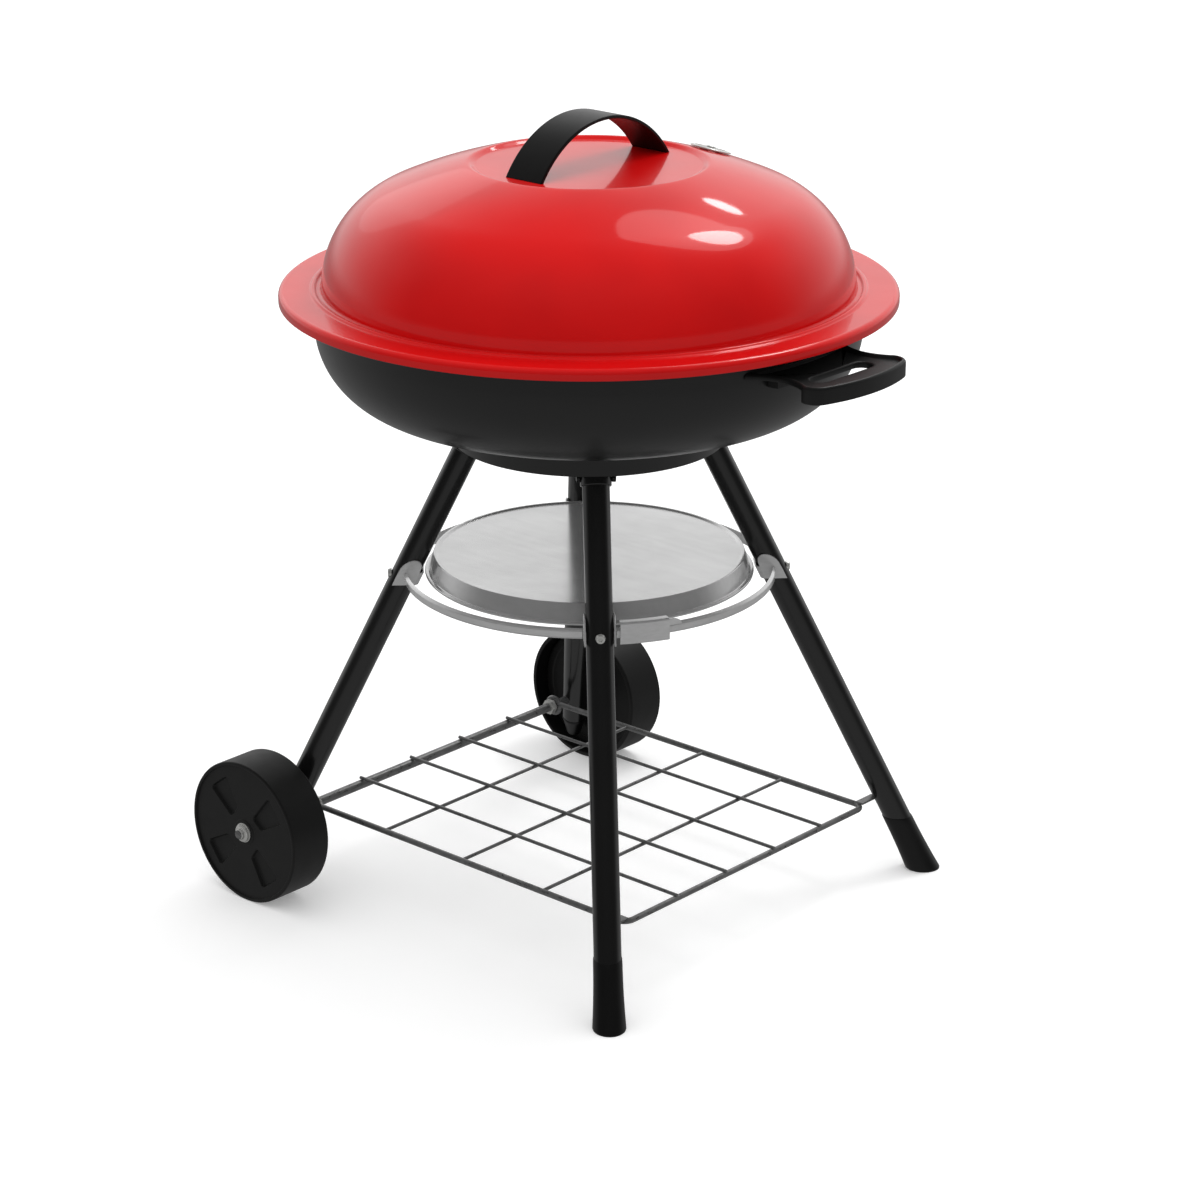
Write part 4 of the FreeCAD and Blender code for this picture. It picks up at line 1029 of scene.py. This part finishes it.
def make_joiner():
    """Folded plate over the hoop's joint, with a small hook at its far end."""
    low, high = HOOP_BOTTOM - 4, HOOP_BOTTOM + HOOP_HEIGHT + 5
    face = HOOP_R + 2.4
    profile = rounded([((HOOP_R - 4.4, high - 1.2), 0.5), ((face, high - 1.2), 0.8), ((face, low), 0.5),
                       ((face + 1.3, low), 0.5), ((face + 1.3, high), 1.6), ((HOOP_R - 4.4, high), 0.5)],
                      True, 3)
    bm = bmesh.new()
    band_arc(bm, profile, -39, -24, 16)
    loops = []
    for k in range(9):
        t = k / 8
        fall = 5.5 * (1 - math.sqrt(1 - t ** 2)) if t < 1 else 5.5
        section = [(face + 0.1, high - 6), (face + 1.2, high - 6), (face + 1.2, high - 0.2 - fall),
                   (face + 0.1, high - 0.2 - fall)]
        loops.append([polar(r, -24.2 + 4.2 * t, z) for r, z in section])
    loft(bm, loops)
    piece("hoop_joiner", bm, BRIGHT_STEEL, "frame", sharp=40)


def make_clip(name):
    """Saddle round a leg: a bent strap with a rounded ear beside the leg on each side, and a ledge."""
    bearing = BEARINGS[name]
    out, side = polar(1, bearing), polar(1, bearing + 90)
    centre = leg_point(bearing, HOOP_MIDDLE)
    half = TUBE_R + CLIP_THICK / 2 + 0.1
    lean = leg_way(bearing) / leg_way(bearing).z
    wrap = -half - 1.2
    plan = rounded([((8, -half), 0), ((wrap, -half), 3.5), ((wrap, half), 3.5), ((8, half), 0)], steps=6)
    path = [centre + out * p.x + side * p.y - lean * CLIP_LOWERED for p in plan]
    bm = bmesh.new()
    sweep(bm, path, slab(CLIP_THICK, CLIP_HEIGHT, 0.5), up=lean)
    for hand in (1, -1):
        loops = []
        for offset, shrink in ((-0.75, 0.4), (-0.4, 0), (0.4, 0), (0.75, 0.4)):
            base = centre + side * hand * (half + 0.05 + offset)
            turns = [math.pi * (12 - k) / 12 for k in range(1, 12)]
            ear = [(CLIP_EAR_R * math.cos(t), CLIP_EAR_R * math.sin(t)) for t in turns]
            ear = [(shrink - CLIP_EAR_R, -2)] + ear + [(CLIP_EAR_R - shrink, -2)]
            scale = 1 - shrink / CLIP_EAR_R
            loops.append([base + out * (x * scale - 1) + lean * (y * scale + CLIP_EAR_RISE) for x, y in ear])
        loft(bm, loops)
    ledge_top = TRAY_RIM - 0.3
    reach = TRAY_RIM_R - 9
    tip, root = reach - LEDGE_IN, reach + LEDGE_OUT - half
    ledge = rounded([((tip, -LEDGE_HALF), 5), ((root, -LEDGE_HALF), 0), ((root, LEDGE_HALF), 0),
                     ((tip, LEDGE_HALF), 5)], True, 6)
    loops = []
    for z, move in ((ledge_top - 1.5, 0.3), (ledge_top - 1.2, 0), (ledge_top - 0.3, 0), (ledge_top, 0.3)):
        loops.append([out * p.x + side * p.y * (1 - move / 10) + UP * z for p in ledge])
    loft(bm, loops)
    piece("clip_" + name, bm, BRIGHT_STEEL, "frame", sharp=40)


def make_clip_screws():
    bm = bmesh.new()
    edge = TUBE_R * math.hypot(1, LEG_SLOPE)
    for bearing in BEARINGS.values():
        at = leg_point(bearing, HOOP_MIDDLE) + polar(edge - 0.9, bearing)
        screw_head(bm, at, polar(1, bearing), 4.2, 3.2)
    piece("clip_screws", bm, ZINC, "frame")


# ---------------------------------------------------------------- grates

def make_grate(name, radius, z, hoop_r, bar_r, pitch, cross_y, cross_drop):
    bm = bmesh.new()
    hoop = [polar(radius, 360 * k / 144, z) for k in range(144)]
    sweep(bm, hoop, circle(hoop_r, 16), wrap=True)
    piece(name + "_hoop", bm, WIRE_STEEL, name)
    bm = bmesh.new()
    count = int((radius - 2 * hoop_r - bar_r) / pitch)
    for i in range(-count, count + 1):
        x = i * pitch
        reach = math.sqrt((radius - hoop_r) ** 2 - (abs(x) + bar_r) ** 2)
        rod(bm, Vector((x, -reach, z)), Vector((x, reach, z)), bar_r, 16, 0.5)
    for y in (-cross_y, cross_y):
        reach = math.sqrt((radius - 9) ** 2 - y ** 2)
        rod(bm, Vector((-reach, y, z + cross_drop)), Vector((reach, y, z + cross_drop)), bar_r, 16, 0.5)
    piece(name + "_bars", bm, WIRE_STEEL, name)


def make_grate_brackets():
    top = COOK_Z - 3.3
    bm = bmesh.new()
    for i in range(4):
        bearing = 22.5 + 90 * i
        out = polar(1, bearing)
        path = [out * p.x + UP * p.y for p in
                rounded([((BOWL_R - 22, top - 0.75), 0), ((BOWL_R - 3.4, top - 0.75), 2.5),
                         ((BOWL_R - 4.6, top - 16), 0)], steps=5)]
        sweep(bm, path, slab(CLIP_THICK, 16, 0.5), up=polar(1, bearing + 90))
    piece("grate_brackets", bm, BOWL_ENAMEL, "frame")


def build():
    make_lid()
    make_strap()
    make_lid_damper()
    make_bowl()
    make_bottom_damper()
    make_leg_ring()
    for side in (1, -1):
        make_bowl_handle(side)
    make_handle_screws()
    for name in BEARINGS:
        make_socket(name)
        make_leg(name)
        make_clip(name)
    for name in ("foot_near", "foot_far"):
        make_foot_cap(name)
    for name in ("wheel_near", "wheel_far"):
        make_plug(name)
    make_bolts()
    make_clip_screws()
    for name, side in (("near", -1), ("far", 1)):
        make_wheel(name, side)
    make_axle()
    make_rack()
    make_tray()
    make_hoop()
    make_joiner()
    make_grate("cooking_grate", COOK_R, COOK_Z, 3.0, 2.0, 18.0, 90, -3.7)
    make_grate("charcoal_grate", COAL_R, COAL_Z, 3.0, 3.0, 24.0, 70, 5.7)
    make_grate_brackets()


# ---------------------------------------------------------------- stage

# Brightness of the room, for gloss and for matt surfaces, by direction
GLOSS_FRONT = 0.05
GLOSS_BACK = 0.9
GLOSS_TOP = 0.1
SOFT_FRONT = 0.7
SOFT_BACK = 0.9
SOFT_TOP = 1.25
FLOOR_GLOW = 0.3
BEHIND = (-0.667, 0.745, 0)

FLOOR_R = 9000.0
FLOOR_STEPS = 96

# Metres, as for every light and the camera
AIM = Vector((0, 0, 0.6))
CAMERA_AT = (1.7795, -1.9778, 1.2245)
CAMERA_WAY = Vector((-0.6258, 0.7002, -0.3436))
CAMERA_LENS = 101.92
CAMERA_SENSOR = 36


def floor_material():
    finish = Finish("floor_paper", specular=0.0)
    finish.colour(finish.blend(finish.noise(60, 2), (0.87, 0.87, 0.87, 1), (0.89, 0.89, 0.89, 1)))
    finish.roughness(finish.noise(8), 0.85, 0.95)
    finish.shader.inputs["Emission Color"].default_value = (1, 1, 1, 1)
    finish.shader.inputs["Emission Strength"].default_value = 0.22
    return finish.material


def make_floor():
    bm = bmesh.new()
    loft(bm, [ring(FLOOR_R, 0, FLOOR_STEPS), ring(FLOOR_R * 2 / 3, 0, FLOOR_STEPS)], cap=False)
    bm.verts.ensure_lookup_table()
    bm.faces.new(bm.verts[FLOOR_STEPS:])
    for vert in bm.verts:
        vert.co *= MM
    mesh = bpy.data.meshes.new("floor")
    bm.to_mesh(mesh)
    bm.free()
    mesh.materials.append(floor_material())
    obj = add_object("floor", mesh)
    obj.visible_diffuse = False
    obj.visible_glossy = False


def softbox(name, way, distance, width, height, radiance):
    """Oval area light that faces the grill from a direction, with a given brightness of its face."""
    data = bpy.data.lights.new(name, "AREA")
    data.shape = "ELLIPSE"
    data.size = width
    data.size_y = height
    data.energy = radiance * math.pi * width * height * (math.pi / 4)
    obj = add_object(name, data)
    obj.location = AIM + Vector(way).normalized() * distance
    obj.rotation_euler = (AIM - obj.location).to_track_quat("-Z", "Y").to_euler()


def ramped(nodes, links, value, span, ends):
    """Smooth step of a value over a span between two numbers or sockets."""
    node = nodes.new("ShaderNodeMapRange")
    node.interpolation_type = "SMOOTHSTEP"
    links.new(value, node.inputs["Value"])
    for key, number in zip(("From Min", "From Max"), span):
        node.inputs[key].default_value = number
    for key, end in zip(("To Min", "To Max"), ends):
        if isinstance(end, float):
            node.inputs[key].default_value = end
        else:
            links.new(end, node.inputs[key])
    return node.outputs["Result"]


def make_world():
    """White behind the grill. Gloss sees a dark room that is bright low behind; matt surfaces
    get a broad soft light from above."""
    world = bpy.data.worlds.new("studio")
    world.use_nodes = True
    nodes, links = world.node_tree.nodes, world.node_tree.links
    way = nodes.new("ShaderNodeTexCoord").outputs["Generated"]
    behind = nodes.new("ShaderNodeVectorMath")
    behind.operation = "DOT_PRODUCT"
    links.new(way, behind.inputs[0])
    behind.inputs[1].default_value = BEHIND
    split = nodes.new("ShaderNodeSeparateXYZ")
    links.new(way, split.inputs["Vector"])
    rays = nodes.new("ShaderNodeLightPath")
    low_gloss = ramped(nodes, links, behind.outputs["Value"], (-0.2, 0.9), (GLOSS_FRONT, GLOSS_BACK))
    gloss = ramped(nodes, links, split.outputs["Z"], (0.4, 0.9), (low_gloss, GLOSS_TOP))
    side = ramped(nodes, links, behind.outputs["Value"], (-1.0, 1.0), (SOFT_FRONT, SOFT_BACK))
    soft = ramped(nodes, links, split.outputs["Z"], (0.2, 0.95), (side, SOFT_TOP))
    lit = ramped(nodes, links, rays.outputs["Is Glossy Ray"], (0.0, 1.0), (soft, gloss))
    above = ramped(nodes, links, split.outputs["Z"], (-0.12, 0.04), (FLOOR_GLOW, lit))
    seen = ramped(nodes, links, rays.outputs["Is Camera Ray"], (0.0, 1.0), (above, 1.0))
    links.new(seen, nodes["Background"].inputs["Strength"])
    nodes["Background"].inputs["Color"].default_value = (1, 1, 1, 1)
    bpy.context.scene.world = world


def make_lights():
    make_world()
    softbox("key_core", (0.03, 0.6, 0.8), 2.6, 0.85, 0.55, 11)
    softbox("key_halo", (-0.02, 0.55, 0.83), 2.62, 1.7, 1.2, 1.3)
    softbox("small_core", (-0.27, 0.75, 0.6), 2.6, 0.26, 0.16, 10)
    softbox("left_band", (-0.85, 0.35, 0.4), 2.8, 1.6, 1.2, 0.3)


def make_camera():
    data = bpy.data.cameras.new("camera")
    data.lens = CAMERA_LENS
    data.sensor_width = CAMERA_SENSOR
    obj = add_object("camera", data)
    obj.location = CAMERA_AT
    obj.rotation_euler = CAMERA_WAY.to_track_quat("-Z", "Y").to_euler()
    bpy.context.scene.camera = obj


build()
make_floor()
make_lights()
make_camera()
bpy.context.scene.view_settings.view_transform = "Standard"
